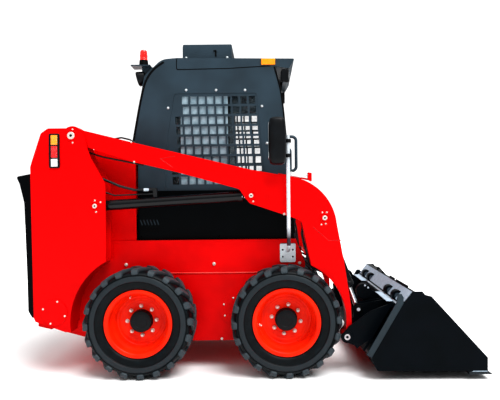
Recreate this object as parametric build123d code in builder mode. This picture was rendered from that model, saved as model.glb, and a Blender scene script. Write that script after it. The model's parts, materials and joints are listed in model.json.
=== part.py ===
"""Skid steer loader: frame, towers, lift arms, bucket, cab, engine door and four driven wheels.

Axes: +X forward, +Y to the machine's left, +Z up. The ground is Z = 0. Millimetres.
"""

import os
from math import cos, hypot, radians, sin

from build123d import *

os.makedirs("parts", exist_ok=True)

hands = {"right": -1, "left": 1}

# Clearances
running_fit = 0.05
seat_gap = 0.3
gap = 5.0
door_gap = 12.0

# Wheels
wheelbase = 1000.0
front_axle_x = 275.0
tyre_r = 376.0
tyre_w = 264.0
lug_depth = 20.0
lug_share = 0.5
lugs = 20
lug_edge = 20.0
tyre_sides = 28
bore_sides = 20
shoulder_r = 338.0
sidewall_r = 300.0
rim_seat = 2.0
wheel_y = 668.0
rim_r = 205.0
rim_flange_r = 231.0
rim_w = 200.0
rim_wall = 7.0
rim_disc = 12.0
well_r = 182.0
disc_flat_r = 137.0
disc_inset = 25.0
hub_cap_r = 74.0
hub_r = 95.0
hub_length = 50.0
axle_shaft_r = 32.0
axle_shaft_length = 60.0
axle_housing_r = 70.0

axle_z = tyre_r
axle_x = {"front": front_axle_x, "rear": front_axle_x - wheelbase}

# Chassis
chassis_y = 520.0
case_w = 80.0
chassis_bottom = 202.0
chassis_top = 920.0
chassis_front_x = 419.0
chassis_rear_x = -1440.0
fold_z = 685.0
fold_proud = 6.0
chain_cover = (-92.0, 424.0)
chain_cover_r = 108.0
cover_sheet = 5.0
plate = 10.0
tow_y = 300.0
tow_plate = 20.0
tow_eye = (-1510.0, 345.0)
tow_eye_r = 15.0

# Towers that carry the arms
tower_inner = 568.0
tower_outer = 712.0
tower_plate = 12.0
tower_rear_x = -1462.0
tower_front_x = -952.0
tower_top = 1705.0
tower_foot = 314.0
arch_gap = 98.0
arm_pivot = (-1180.0, 1654.0)
arm_pin_r = 25.0
lift_base = (-1023.0, 1172.0)
lift_pin_r = 20.0
pin_head = 6.0
access_cover = (-1308.0, 449.0)
access_cover_r = 90.0

# Lift arms
arm_inner = 590.0
arm_outer = 690.0
arm_boss_r = 68.0
elbow_r = 365.0
leg_tyre_gap = 36.0
lift_lug = (42.0, 1233.0)
lift_lug_r = 40.0
lug_plate = 14.0
cross_tube = (505.0, 775.0)
cross_tube_r = 45.0
tilt_top = (546.0, 1075.0)
bucket_pivot = (688.0, 262.0)
bucket_pin_r = 18.0
bucket_boss_r = 34.0

# Cylinders
lift_y = 640.0
lift_barrel_r = 36.0
lift_bore_r = 29.0
lift_rod_r = 18.0
lift_rod_out = 82.0
tilt_y = 540.0
tilt_barrel_r = 38.0
tilt_bore_r = 30.0
tilt_rod_r = 18.0
tilt_rod_out = 195.0
tilt_pin_r = 16.0
tilt_low = (788.0, 424.0)
piston_length = 35.0
gland_length = 45.0
eye_w = 44.0
eye_r = 36.0

# Hoses, and the quick couplers on the right arm
hose_r = 9.0
pipe_r = 5.0
line_r = 6.0
port_block = (403.0, 27.0, 62.0, 30.0)
aux_fitting_r = 10.0
aux_fitting_x = (321.0, 388.0)
aux_y = 665.0

# Bucket and coupler
bucket_half = 840.0
bucket_sheet = 10.0
bucket_side = 10.0
bucket_top = (1108.0, 586.0)
bucket_bend = (1041.0, 503.0)
bucket_heel = (829.0, 149.0)
bucket_floor_x = 867.0
bucket_floor_z = 58.0
bucket_lip_x = 1594.0
edge_tip_x = 1622.0
edge_width = 150.0
edge_thickness = 18.0
coupler_plate = 14.0
coupler_standoff = 26.0
ear_plate = 12.0
lever_y = 430.0
lever_hub = (850.0, 532.0)
lever_hub_r = 55.0
lever_hub_w = 60.0
lever_plate = 14.0
top_lug_h = 16.0
top_lug_plate = 8.0
top_lugs = [(135.0, 290.0), (350.0, 680.0)]
pocket_r = 36.0
side_rib = 12.0
side_rib_depth = 42.0
pocket_y = (350.0, 590.0)

# Cab
cab_y = 455.0
cab_wall = 40.0
cab_rear_x = -785.0
cab_top = 2244.0
roof_edge_z = 2155.0
roof_front_x = 363.0
roof_rear_x = -493.0
roof_sheet = 8.0
window_top = 1985.0
window_bottom = 1285.0
screen_sheet = 5.0
screen_pitch_x = 61.0
screen_pitch_z = 73.0
screen_hole_w = 47.0
screen_hole_h = 57.0
glass = 5.0
rear_window_w = 620.0
rear_window_h = 360.0
rear_window_z = 1840.0
rear_window_corner = 40.0
rear_glass_depth = 14.0
louvres = 6
louvre_w = 9.0
louvre_h = 42.0
louvre_pitch = 24.0
louvre_rows = (996.0, 1048.0)
door_half = cab_y - cab_wall - door_gap
door_thickness = 34.0
door_border = 70.0
door_bottom = 872.0
door_top = 2120.0
door_hinge_x = 40.0
door_hinge_y = door_half + 9.0
door_hinge_z = (1150.0, 1850.0)
floor_z = 330.0
seat_z = 800.0
seat_half = 230.0
seat_back_z = 1480.0
lever_box_x = -20.0
lever_box_y = 320.0
lever_box_h = 260.0
lever_h = 330.0
grip_r = 21.0
grip_h = 110.0
roof_unit_x = -280.0
roof_unit_l = 364.0
roof_unit_w = 760.0
roof_unit_h = 100.0
lamp_y = 395.0
beacon_x = -748.0
beacon_r = 34.0
beacon_h = 123.0
beacon_base_h = 45.0
lamp_plate_z = 2190.0
lamp_plate_t = 8.0
lamp_w = 110.0
lamp_h = 100.0
lamp_depth = 60.0
front_lamp_y = 432.0
front_lamp_w = 46.0

# Mirrors and grab handles
post_x = 296.0
post_y = 735.0
handle_x = 368.0
handle_r = 11.0
handle_low = 1415.0
handle_span = 249.0

# Engine end
engine_x = -1025.0
engine_l = 530.0
engine_w = 520.0
engine_h = 800.0
engine_mount_l = 250.0
engine_mount_h = 80.0
hood_y = 500.0
hood_sheet = 6.0
hood_front_top = 1614.0
hood_rear_top = 1420.0
hood_rear_x = -1478.0
door_rear_x = -1626.9
engine_door_y = 556.0
engine_door_x = -1490.0
engine_door_bottom = 383.0
engine_door_top = 1404.0
engine_hinge = (-1478.0, 550.0)
engine_hinge_z = (620.0, 1150.0)
hinge_pin_r = 5.0
knuckle_r = 8.0
knuckle_h = 60.0
hinge_lug_h = 12.0

# Front edge of the cab, from the roof down to the chassis
cab_front = [(219.0, 2177.0), (268.0, 1971.0), (297.0, 1686.0), (321.0, 1376.0), (356.0, chassis_top)]


def side_plane(side, inner):
    """Plane at one side of the machine whose normal points to -Y, so sketches read X and Z."""
    return Plane.XZ.offset(inner if side < 0 else -inner)


def band(side, inner, outer):
    """Plane and depth that fill the band of Y from inner to outer on one side."""
    return side_plane(side, inner if side < 0 else outer), outer - inner


def rounded(corners):
    """Closed line through (x, z) or (x, z, corner radius) rows."""
    radii = [c[2] if len(c) > 2 else 0 for c in corners]
    FilletPolyline(*[c[:2] for c in corners], radius=radii, close=True)


def front_x(z):
    """X of the cab's front edge at a height."""
    for (x_high, z_high), (x_low, z_low) in zip(cab_front, cab_front[1:]):
        if z >= z_low:
            return x_high + (x_low - x_high) * (z_high - z) / (z_high - z_low)
    return cab_front[-1][0]


def door_hinge_plane(z):
    """Plane square to the cab door's hinge line at a height, with its origin on the line."""
    (x_high, z_high), (x_low, z_low) = cab_front[0], cab_front[-1]
    x = x_low + (x_high - x_low) * (z - z_low) / (z_high - z_low) + door_hinge_x
    return Plane(origin=(x, door_hinge_y, z), x_dir=(z_high - z_low, 0, x_low - x_high), z_dir=(x_high - x_low, 0, z_high - z_low))


def along(start, end, distance):
    """Point a distance from start on the line to end."""
    span = hypot(end[0] - start[0], end[1] - start[1])
    return tuple(s + (e - s) * distance / span for s, e in zip(start, end))


def shifted(start, end, offset):
    """The line start to end moved sideways, positive to the left of its direction."""
    span = hypot(end[0] - start[0], end[1] - start[1])
    nx, nz = -(end[1] - start[1]) / span, (end[0] - start[0]) / span
    return [(p[0] + nx * offset, p[1] + nz * offset) for p in (start, end)]


# ---------------------------------------------------------------- wheels
tyre_side = tyre_w / 2
bead_y = rim_w / 2
carcass_rows = [(rim_flange_r + rim_seat + 6, bead_y), (sidewall_r, tyre_side - 2), (shoulder_r, tyre_side - 10)]
carcass_rows += [(r, -y) for r, y in reversed(carcass_rows)]


def tread_outline(centre, phase):
    """Outline of one half of the tread, whose lugs start at an angle."""
    pitch = 360 / lugs
    half_lug = pitch * lug_share / 2
    corners = [(tyre_r - lug_depth, -half_lug - 1), (tyre_r, 1 - half_lug), (tyre_r, half_lug - 1), (tyre_r - lug_depth, half_lug + 1)]
    angles = [(r, radians(phase + lug * pitch + turn)) for lug in range(lugs) for r, turn in corners]
    return [(centre[0] + r * cos(a), centre[1] + r * sin(a)) for r, a in angles]


rim_inside = rim_r - rim_wall
disc_out = -disc_inset
disc_in = disc_out - rim_disc
hub_end = disc_in - hub_length
rim_profile = [
    (0, hub_end - axle_shaft_length),
    (axle_shaft_r, hub_end - axle_shaft_length),
    (axle_shaft_r, hub_end),
    (hub_r, hub_end),
    (hub_r, disc_in),
    (disc_flat_r, disc_in),
    (well_r - rim_wall, disc_in - 10),
    (rim_inside, disc_in - 42),
    (rim_inside, -bead_y - rim_wall),
    (rim_flange_r, -bead_y - rim_wall),
    (rim_flange_r, -bead_y),
    (rim_r, -bead_y),
    (rim_r, disc_in - 34),
    (well_r, disc_in - 2),
    (well_r, bead_y - 76),
    (rim_r, bead_y - 44),
    (rim_r, bead_y),
    (rim_flange_r, bead_y),
    (rim_flange_r, bead_y + rim_wall),
    (rim_r + 4, bead_y + rim_wall),
    (rim_inside, bead_y - 8),
    (rim_inside, bead_y - 46),
    (well_r - rim_wall, bead_y - 80),
    (well_r - rim_wall, disc_out + 8),
    (disc_flat_r, disc_out),
    (hub_cap_r, disc_out),
    (hub_cap_r, disc_out + 18),
    (hub_cap_r - 10, disc_out + 24),
    (0, disc_out + 24),
]
for end, x in axle_x.items():
    for hand, side in hands.items():
        turn_axis = Axis((x, 0, axle_z), (0, 1, 0))
        wheel_plane = Plane(origin=(x, side * wheel_y, axle_z), x_dir=(1, 0, 0), z_dir=(0, 0, 1))
        with BuildPart() as tyre:
            for (r_start, y_start), (r_end, y_end) in zip(carcass_rows, carcass_rows[1:]):
                for r, y in ((r_start, y_start), (r_end, y_end)):
                    with BuildSketch(Plane.XZ.offset(-side * wheel_y - y)):
                        with Locations((x, axle_z)):
                            RegularPolygon(r, tyre_sides, rotation=180 / tyre_sides)
                loft(ruled=True)
            # The two halves of the tread, with their lugs half a pitch apart
            for half, phase in ((1, 0), (-1, 180 / lugs)):
                with BuildSketch(Plane.XZ.offset(-side * wheel_y)):
                    with BuildLine():
                        Polyline(*tread_outline((x, axle_z), phase), close=True)
                    make_face()
                extrude(amount=half * (tyre_side - lug_edge))
            # Bore that seats on the rim, wider outside the beads where the rim's flanges stand
            flange_recess = tyre_side - bead_y
            for start, depth, r, sides in (
                (-tyre_side, tyre_w, rim_r + seat_gap, bore_sides),
                (-tyre_side, flange_recess, rim_flange_r + rim_seat, tyre_sides),
                (bead_y, flange_recess, rim_flange_r + rim_seat, tyre_sides),
            ):
                with BuildSketch(Plane.XZ.offset(-side * wheel_y + start)):
                    with Locations((x, axle_z)):
                        RegularPolygon(r, sides, major_radius=False, rotation=180 / sides)
                extrude(amount=depth, mode=Mode.SUBTRACT)
        tyre.part.label = f"tyre_{end}_{hand}"
        export_step(tyre.part, f"parts/tyre_{end}_{hand}.step")

        with BuildPart() as rim:
            with BuildSketch(wheel_plane):
                with BuildLine():
                    Polyline(*[(r, y * side) for r, y in rim_profile], close=True)
                make_face()
            revolve(axis=turn_axis)
        rim.part.label = f"rim_{end}_{hand}"
        export_step(rim.part, f"parts/rim_{end}_{hand}.step")

# ---------------------------------------------------------------- axle housings
housing_end = wheel_y + hub_end - gap
with BuildPart() as axle_housings:
    for x in axle_x.values():
        for side in hands.values():
            plane, depth = band(side, chassis_y, housing_end)
            with BuildSketch(plane):
                with Locations((x, axle_z)):
                    Circle(axle_housing_r)
            extrude(amount=depth)
            bore_plane, bore_depth = band(side, housing_end - axle_shaft_length - gap, housing_end)
            with BuildSketch(bore_plane):
                with Locations((x, axle_z)):
                    Circle(axle_shaft_r + running_fit)
            extrude(amount=bore_depth, mode=Mode.SUBTRACT)
axle_housings.part.label = "axle_housings"
export_step(axle_housings.part, "parts/axle_housings.step")

# ---------------------------------------------------------------- main frame
case_outline = [
    (chassis_rear_x, 1000),
    (chassis_rear_x, 345),
    (-1297, 273),
    (-1040, chassis_bottom),
    (330, chassis_bottom),
    (400, 300),
    (chassis_front_x, 756),
    (356, chassis_top),
    (tower_front_x - 23, chassis_top),
    (tower_front_x - 23, 1000),
]
arch_r = tyre_r + arch_gap
upright_outline = [
    (chassis_rear_x, 400),
    (chassis_rear_x, 1440),
    (tower_front_x - 23, 1300),
    (tower_front_x - 23, 500),
    (-1100, 345),
]
with BuildPart() as main_frame:
    for side in hands.values():
        plane, depth = band(side, chassis_y - case_w, chassis_y)
        with BuildSketch(plane):
            with BuildLine():
                rounded(case_outline)
            make_face()
        extrude(amount=depth)
        plane, depth = band(side, chassis_y, chassis_y + fold_proud)
        with BuildSketch(plane):
            with BuildLine():
                Polyline((tower_front_x + gap, fold_z), (chassis_front_x - 3, fold_z), (chassis_front_x, 756), (356, chassis_top), (tower_front_x + gap, chassis_top), close=True)
            make_face()
        extrude(amount=depth)
        plane, depth = band(side, chassis_y, chassis_y + cover_sheet)
        with BuildSketch(plane):
            with Locations(chain_cover):
                Circle(chain_cover_r)
        extrude(amount=depth)
        plane, depth = band(side, chassis_y, tower_inner)
        with BuildSketch(plane):
            with BuildLine():
                rounded(upright_outline)
            make_face()
            with Locations((axle_x["rear"], axle_z)):
                Circle(arch_r, mode=Mode.SUBTRACT)
        extrude(amount=depth)
    case_inner = chassis_y - case_w
    belly = [
        (-1390, 320),
        (-1297, 273),
        (-1040, chassis_bottom),
        (330, chassis_bottom),
        (400, 300),
        (chassis_front_x, 756),
        (361, door_bottom - gap),
    ]
    inside = [
        (361 - plate, door_bottom - gap),
        (chassis_front_x - plate, 754),
        (390, 302),
        (325, chassis_bottom + plate),
        (-1038, chassis_bottom + plate),
        (-1295, 283),
        (-1386, 330),
    ]
    with BuildSketch(side_plane(1, case_inner)):
        with BuildLine():
            Polyline(*belly, *inside, close=True)
        make_face()
    extrude(amount=2 * case_inner)
    with BuildSketch(side_plane(1, tower_inner)):
        with BuildLine():
            Polyline((-1380, 380), (-1475, 380), (-1475, 325), (-1380, 302), close=True)
        make_face()
    extrude(amount=2 * tower_inner)
    for side in hands.values():
        plane, depth = band(side, tow_y - tow_plate / 2, tow_y + tow_plate / 2)
        with BuildSketch(plane):
            with BuildLine():
                rounded([(-1475, 372), (-1475, 318), (tow_eye[0] - 26, 318, 20), (tow_eye[0] - 26, 372, 20)])
            make_face()
            with Locations(tow_eye):
                Circle(tow_eye_r, mode=Mode.SUBTRACT)
        extrude(amount=depth)
    for z in engine_hinge_z:
        lug_length = chassis_rear_x - engine_hinge[0] + knuckle_r
        with BuildSketch(Plane.XY.offset(z - hinge_lug_h)):
            with Locations((chassis_rear_x - lug_length / 2, engine_hinge[1])):
                Rectangle(lug_length, 2 * knuckle_r - 2)
        extrude(amount=hinge_lug_h)
        with BuildSketch(Plane.XY.offset(z)):
            with Locations(engine_hinge):
                Circle(hinge_pin_r)
        extrude(amount=knuckle_h)
main_frame.part.label = "main_frame"
export_step(main_frame.part, "parts/main_frame.step")

# ---------------------------------------------------------------- towers
tower_outline = [
    (-1340, tower_top, 30),
    (-1388, tower_top - 34, 20),
    (-1451, 1480, 30),
    (tower_rear_x, 1442, 30),
    (-1448, 414, 15),
    (-1438, 387, 15),
    (-1232, tower_foot),
    (tower_front_x, tower_foot),
    (tower_front_x, 1322, 40),
    (-987, 1389),
    (-1051, 1503, 60),
    (-1076, 1577, 60),
    (-1093, tower_top - 46, 35),
    (-1123, tower_top - 22, 20),
    (-1158, tower_top, 20),
]
tower_slot = [
    (-1330, tower_top + 50),
    (-1376, tower_top - 39),
    (-1439, 1478),
    (tower_rear_x + tower_plate, 1440),
    (-1436, 404),
    (-1228, 332),
    (tower_front_x + 50, 332),
    (tower_front_x + 50, tower_top + 50),
]
for hand, side in hands.items():
    with BuildPart() as tower:
        plane, depth = band(side, tower_inner, tower_outer)
        with BuildSketch(plane):
            with BuildLine():
                rounded(tower_outline)
            make_face()
            with Locations((axle_x["rear"], axle_z)):
                Circle(arch_r, mode=Mode.SUBTRACT)
        extrude(amount=depth)
        plane, depth = band(side, tower_inner + tower_plate, tower_outer - tower_plate)
        with BuildSketch(plane):
            with BuildLine():
                Polyline(*tower_slot, close=True)
            make_face()
            with Locations((axle_x["rear"], axle_z)):
                Circle(arch_r + tower_plate, mode=Mode.SUBTRACT)
        extrude(amount=depth, mode=Mode.SUBTRACT)
        for centre, radius in ((arm_pivot, arm_pin_r), (lift_base, lift_pin_r)):
            plane, depth = band(side, tower_inner, tower_outer + pin_head)
            with BuildSketch(plane):
                with Locations(centre):
                    Circle(radius)
            extrude(amount=depth)
        plane, depth = band(side, tower_outer, tower_outer + cover_sheet)
        with BuildSketch(plane):
            with Locations(access_cover):
                Circle(access_cover_r)
        extrude(amount=depth)
    tower.part.label = f"tower_{hand}"
    export_step(tower.part, f"parts/tower_{hand}.step")

# ---------------------------------------------------------------- lift arms
leg_r = tyre_r + leg_tyre_gap
arm_outline = [
    (arm_pivot[0] - 20, arm_pivot[1] + 62),
    (-779, 1609),
    (37, 1412, 900),
    (580, 1312, elbow_r),
    (674, 781, 300),
    (720, 474, 300),
    (bucket_pivot[0] + 36, 330),
    (bucket_pivot[0] + 28, bucket_pivot[1] - 8),
    (bucket_pivot[0] - 30, bucket_pivot[1] - 6),
    (460, 700),
    (389, 1048, 40),
    (361, 1067, 40),
    (34, 1179, 30),
    (2, 1215, 20),
    (-39, 1279, 40),
    (-475, 1403),
    (-758, 1471),
    (-1071, 1573),
    (arm_pivot[0] - 10, arm_pivot[1] - 62),
]
for hand, side in hands.items():
    with BuildPart() as arm:
        plane, depth = band(side, arm_inner, arm_outer)
        with BuildSketch(plane):
            with BuildLine():
                rounded(arm_outline)
            make_face()
            with Locations((axle_x["front"], axle_z)):
                Circle(leg_r, mode=Mode.SUBTRACT)
            with Locations(arm_pivot):
                Circle(arm_boss_r)
            with Locations(bucket_pivot):
                Circle(bucket_boss_r)
            with Locations(lift_lug):
                Circle(lift_lug_r)
            with Locations(arm_pivot):
                Circle(arm_pin_r + running_fit, mode=Mode.SUBTRACT)
            with Locations(bucket_pivot):
                Circle(bucket_pin_r + running_fit, mode=Mode.SUBTRACT)
        extrude(amount=depth)
        # Open clevis under the arm for the eye of the lift rod
        plane, depth = band(side, arm_inner + lug_plate, arm_outer - lug_plate)
        with BuildSketch(plane):
            with BuildLine():
                Polyline((-110, 1175), (-110, 1270), (-60, 1300), (110, 1300), (130, 1175), (130, 1080), (-110, 1080), close=True)
            make_face()
        extrude(amount=depth, mode=Mode.SUBTRACT)
        # Pin boss for the base of the tilt cylinder, inboard of the arm
        plane, depth = band(side, tilt_y - eye_w / 2, arm_inner)
        with BuildSketch(plane):
            with Locations(tilt_top):
                Circle(tilt_pin_r)
        extrude(amount=depth)
        plane, depth = band(side, arm_outer, arm_outer + pin_head)
        with BuildSketch(plane):
            with Locations(tilt_top, lift_lug):
                Circle(tilt_pin_r)
        extrude(amount=depth)
    arm.part.label = f"arm_{hand}"
    export_step(arm.part, f"parts/arm_{hand}.step")

with BuildPart() as arm_cross_tube:
    with BuildSketch(side_plane(1, arm_inner)):
        with Locations(cross_tube):
            Circle(cross_tube_r)
            Circle(cross_tube_r - plate, mode=Mode.SUBTRACT)
    extrude(amount=2 * arm_inner)
arm_cross_tube.part.label = "arm_cross_tube"
export_step(arm_cross_tube.part, "parts/arm_cross_tube.step")


# ---------------------------------------------------------------- cylinders
def ray_plane(start, end, y):
    """Plane whose X runs from start to end in the XZ plane and whose Z is the machine's -Y."""
    return Plane(origin=(start[0], y, start[1]), x_dir=(end[0] - start[0], 0, end[1] - start[1]), z_dir=(0, -1, 0))


def pair_length(start, end):
    return hypot(end[0] - start[0], end[1] - start[1])


def barrel_profile(length, barrel_r, bore_r, rod_r, base):
    """Half section of a tube that is closed at its base and has a gland at its mouth."""
    return [
        (base, 0), (base, barrel_r), (length, barrel_r), (length, rod_r + running_fit),
        (length - gland_length, rod_r + running_fit), (length - gland_length, bore_r),
        (base + plate, bore_r), (base + plate, 0),
    ]


def rod_profile(start, end, bore_r, rod_r):
    """Half section of a rod with its piston."""
    return [
        (start, 0), (start, bore_r - running_fit), (start + piston_length, bore_r - running_fit),
        (start + piston_length, rod_r), (end, rod_r), (end, 0),
    ]


cylinders = {
    "lift": dict(
        base=lift_base, tip=lift_lug, y=lift_y, barrel_r=lift_barrel_r, bore_r=lift_bore_r, rod_r=lift_rod_r,
        rod_out=lift_rod_out, pin_r=lift_pin_r, piston=60.0,
    ),
    "tilt": dict(
        base=tilt_top, tip=tilt_low, y=tilt_y, barrel_r=tilt_barrel_r, bore_r=tilt_bore_r, rod_r=tilt_rod_r,
        rod_out=tilt_rod_out, pin_r=tilt_pin_r, piston=145.0,
    ),
}
for name, c in cylinders.items():
    reach = pair_length(c["base"], c["tip"])
    mouth = reach - c["rod_out"]
    with BuildPart() as barrels:
        for side in hands.values():
            plane = ray_plane(c["base"], c["tip"], side * c["y"])
            with BuildSketch(plane):
                with BuildLine():
                    Polyline(*barrel_profile(mouth, c["barrel_r"], c["bore_r"], c["rod_r"], eye_r - 6), close=True)
                make_face()
            revolve(axis=Axis(plane.origin, plane.x_dir))
            with BuildSketch(plane.offset(-eye_w / 2)):
                Circle(eye_r)
            extrude(amount=eye_w)
            with BuildSketch(plane.offset(-eye_w / 2)):
                Circle(c["pin_r"] + running_fit)
            extrude(amount=eye_w, mode=Mode.SUBTRACT)
    barrels.part.label = f"{name}_barrels"
    export_step(barrels.part, f"parts/{name}_barrels.step")

    with BuildPart() as rods:
        for side in hands.values():
            plane = ray_plane(c["base"], c["tip"], side * c["y"])
            with BuildSketch(plane):
                with BuildLine():
                    Polyline(*rod_profile(c["piston"], reach - c["pin_r"] - 4, c["bore_r"], c["rod_r"]), close=True)
                make_face()
            revolve(axis=Axis(plane.origin, plane.x_dir))
            with BuildSketch(plane.offset(-eye_w / 2)):
                with Locations((reach, 0)):
                    Circle(c["pin_r"] + 14)
            extrude(amount=eye_w)
            with BuildSketch(plane.offset(-eye_w / 2)):
                with Locations((reach, 0)):
                    Circle(c["pin_r"])
            extrude(amount=eye_w, mode=Mode.SUBTRACT)
    rods.part.label = f"{name}_rods"
    export_step(rods.part, f"parts/{name}_rods.step")

# ---------------------------------------------------------------- hoses
def tube(points, radius, bend):
    """Tube along points, with bends between its runs."""
    with BuildLine() as path:
        FilletPolyline(*points, radius=bend)
    start, towards = Vector(*points[0]), Vector(*points[1])
    with BuildSketch(Plane(origin=start, z_dir=towards - start)) as section:
        Circle(radius)
    sweep(sections=section.sketch, path=path.line)


# From the port block on each lift barrel back into the tower, in the barrel's own line
lift_hose_runs = [(4, 200), (68, 174), (161, 127), (263, 93), (port_block[0], 90)]
lift_pipe_runs = [(10, 110), (117, 66), (port_block[0], 58)]
with BuildPart() as lift_hoses:
    for side in hands.values():
        plane = ray_plane(lift_base, lift_lug, side * lift_y)
        along_x, width, height, depth = port_block
        for runs, radius in ((lift_hose_runs, hose_r), (lift_pipe_runs, pipe_r)):
            tube([tuple(plane.from_local_coords(Vector(x, z, 0))) for x, z in runs], radius, 40)
        with BuildSketch(plane.offset(-depth / 2)):
            with Locations((along_x, lift_barrel_r + seat_gap + height / 2)):
                Rectangle(width, height)
        extrude(amount=depth)
lift_hoses.part.label = "lift_hoses"
export_step(lift_hoses.part, "parts/lift_hoses.step")

# Hard line below each arm, loop over its top edge, and two hoses down behind its leg
arm_foot, arm_mid = arm_outline[16][:2], arm_outline[15][:2]
line_end = shifted(arm_foot, arm_mid, -line_r - seat_gap)
under_line = [(-1120, 1490), (-1085, 1545), (-990, 1513), line_end[0], along(*line_end, 60)]
loop_runs = [(-985, 1590), (-930, 1643), (-870, 1652), (-812, 1638), (-778, 1617), (-740, 1560)]
leg_runs = {
    "outer": [(430, 1150), (396, 1040), (418, 960), (428, 880), (438, 790), (455, 728), (540, 690)],
    "inner": [(405, 1165), (412, 1050), (396, 960), (412, 880), (430, 825), (432, cross_tube[1]), (cross_tube[0] - cross_tube_r - 2 * seat_gap, cross_tube[1])],
}
with BuildPart() as arm_hoses:
    for side in hands.values():
        tube([(x, side * lift_y, z) for x, z in under_line], line_r, 14)
        tube([(x, side * (arm_inner - line_r - seat_gap), z) for x, z in loop_runs], line_r, 22)
        tube([(x, side * (arm_inner - hose_r - seat_gap), z) for x, z in leg_runs["outer"]], hose_r, 30)
        tube([(x, side * (arm_inner - 3 * hose_r - 4 * seat_gap), z) for x, z in leg_runs["inner"]], hose_r, 18)
        # Clamp that carries the inner hose on the arm
        plane, depth = band(side, arm_inner - 4 * hose_r, arm_inner - seat_gap)
        with BuildSketch(plane):
            with Locations(leg_runs["inner"][0]):
                Rectangle(26, 34)
        extrude(amount=depth)
arm_hoses.part.label = "arm_hoses"
export_step(arm_hoses.part, "parts/arm_hoses.step")

# Bracket and quick coupler on top of the right arm
arm_top_rear, arm_top_front = arm_outline[2][:2], arm_outline[3][:2]


def above_arm(x, height):
    """Point a height above the straight top of the arm."""
    (x_rear, z_rear), (x_front, z_front) = arm_top_rear, arm_top_front
    return x, z_rear + (z_front - z_rear) * (x - x_rear) / (x_front - x_rear) + height


with BuildPart() as aux_bracket:
    plane, depth = band(-1, arm_inner + 8, aux_y - aux_fitting_r - 4)
    with BuildSketch(plane):
        with BuildLine():
            Polyline(
                above_arm(230, seat_gap), above_arm(230, 10), above_arm(436, 10), above_arm(436, 50),
                above_arm(460, 50), above_arm(460, -6), above_arm(440, seat_gap), close=True,
            )
        make_face()
    extrude(amount=depth)
    plane, depth = band(-1, aux_y - aux_fitting_r - 4, arm_outer - 6)
    with BuildSketch(plane):
        with BuildLine():
            Polyline(above_arm(436, 50), above_arm(460, 50), above_arm(460, -6), above_arm(436, -2), close=True)
        make_face()
    extrude(amount=depth)
aux_bracket.part.label = "aux_bracket"
export_step(aux_bracket.part, "parts/aux_bracket.step")

with BuildPart() as aux_coupler:
    start, end = (above_arm(x, aux_fitting_r + 2 * seat_gap) for x in aux_fitting_x)
    fitting_plane = ray_plane(start, end, -aux_y)
    with BuildSketch(Plane(origin=fitting_plane.origin, z_dir=fitting_plane.x_dir)):
        Circle(aux_fitting_r)
    extrude(amount=pair_length(start, end))
    with BuildSketch(fitting_plane.offset(-aux_fitting_r)):
        with Locations((-6, 8)):
            Rectangle(12, 33)
    extrude(amount=2 * aux_fitting_r)
    tube([(x, -aux_y, z) for x, z in (above_arm(315, 30), above_arm(379, 36), above_arm(413, 22), above_arm(435, 32))], 4, 14)
aux_coupler.part.label = "aux_coupler"
export_step(aux_coupler.part, "parts/aux_coupler.step")

# ---------------------------------------------------------------- coupler
face_low, face_high = shifted(bucket_heel, bucket_bend, coupler_standoff)
face_high = along(face_low, face_high, pair_length(bucket_heel, bucket_bend) - 30)
back_low, back_high = shifted(face_low, face_high, coupler_plate)
ear_outline = [
    (bucket_pivot[0] - 26, bucket_pivot[1] + 24),
    (700, 332),
    (848, 436),
    along(back_high, back_low, 12),
    along(back_high, back_low, 300),
    (753, 182),
    (735, 205),
    (bucket_pivot[0] - 14, bucket_pivot[1] - 32),
]
clevis_outline = [
    (tilt_low[0] - 40, tilt_low[1] + 10),
    (tilt_low[0] - 18, tilt_low[1] + 42),
    (tilt_low[0] + 30, tilt_low[1] + 42),
    along(back_high, back_low, 2),
    along(back_high, back_low, 290),
    (760, 300),
]
ear_bands = [(tower_outer - 12, tower_outer), (arm_inner - 12 - ear_plate + 4, arm_inner - 8)]
with BuildPart() as coupler:
    with BuildSketch(side_plane(1, tower_outer)):
        with BuildLine():
            Polyline(face_low, face_high, back_high, back_low, close=True)
        make_face()
    extrude(amount=2 * tower_outer)
    for side in hands.values():
        for inner, outer in ear_bands:
            plane, depth = band(side, inner, outer)
            with BuildSketch(plane):
                with BuildLine():
                    Polyline(*ear_outline, close=True)
                make_face()
                with Locations(bucket_pivot):
                    Circle(bucket_boss_r)
            extrude(amount=depth)
        plane, depth = band(side, ear_bands[1][0], tower_outer)
        with BuildSketch(plane):
            with Locations(bucket_pivot):
                Circle(bucket_pin_r)
        extrude(amount=depth)
        clevis_inner = tilt_y - eye_w / 2 - 6
        for inner, outer in ((clevis_inner - ear_plate, clevis_inner), (ear_bands[1][0], ear_bands[1][1])):
            plane, depth = band(side, inner, outer)
            with BuildSketch(plane):
                with BuildLine():
                    Polyline(*clevis_outline, close=True)
                make_face()
            extrude(amount=depth)
coupler.part.label = "coupler"
export_step(coupler.part, "parts/coupler.step")

lever_seat = shifted(back_low, back_high, seat_gap)
with BuildPart() as coupler_levers:
    for side in hands.values():
        plane, depth = band(side, lever_y - lever_plate / 2, lever_y + lever_plate / 2)
        with BuildSketch(plane):
            with BuildLine():
                Polyline((lever_hub[0] - 30, lever_hub[1] - 40), (lever_hub[0], lever_hub[1] + 50), along(*reversed(lever_seat), 12), along(*reversed(lever_seat), 130), close=True)
            make_face()
        extrude(amount=depth)
        plane, depth = band(side, lever_y - lever_hub_w / 2, lever_y + lever_hub_w / 2)
        with BuildSketch(plane):
            with Locations(lever_hub):
                Circle(lever_hub_r)
        extrude(amount=depth)
coupler_levers.part.label = "coupler_levers"
export_step(coupler_levers.part, "parts/coupler_levers.step")

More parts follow.
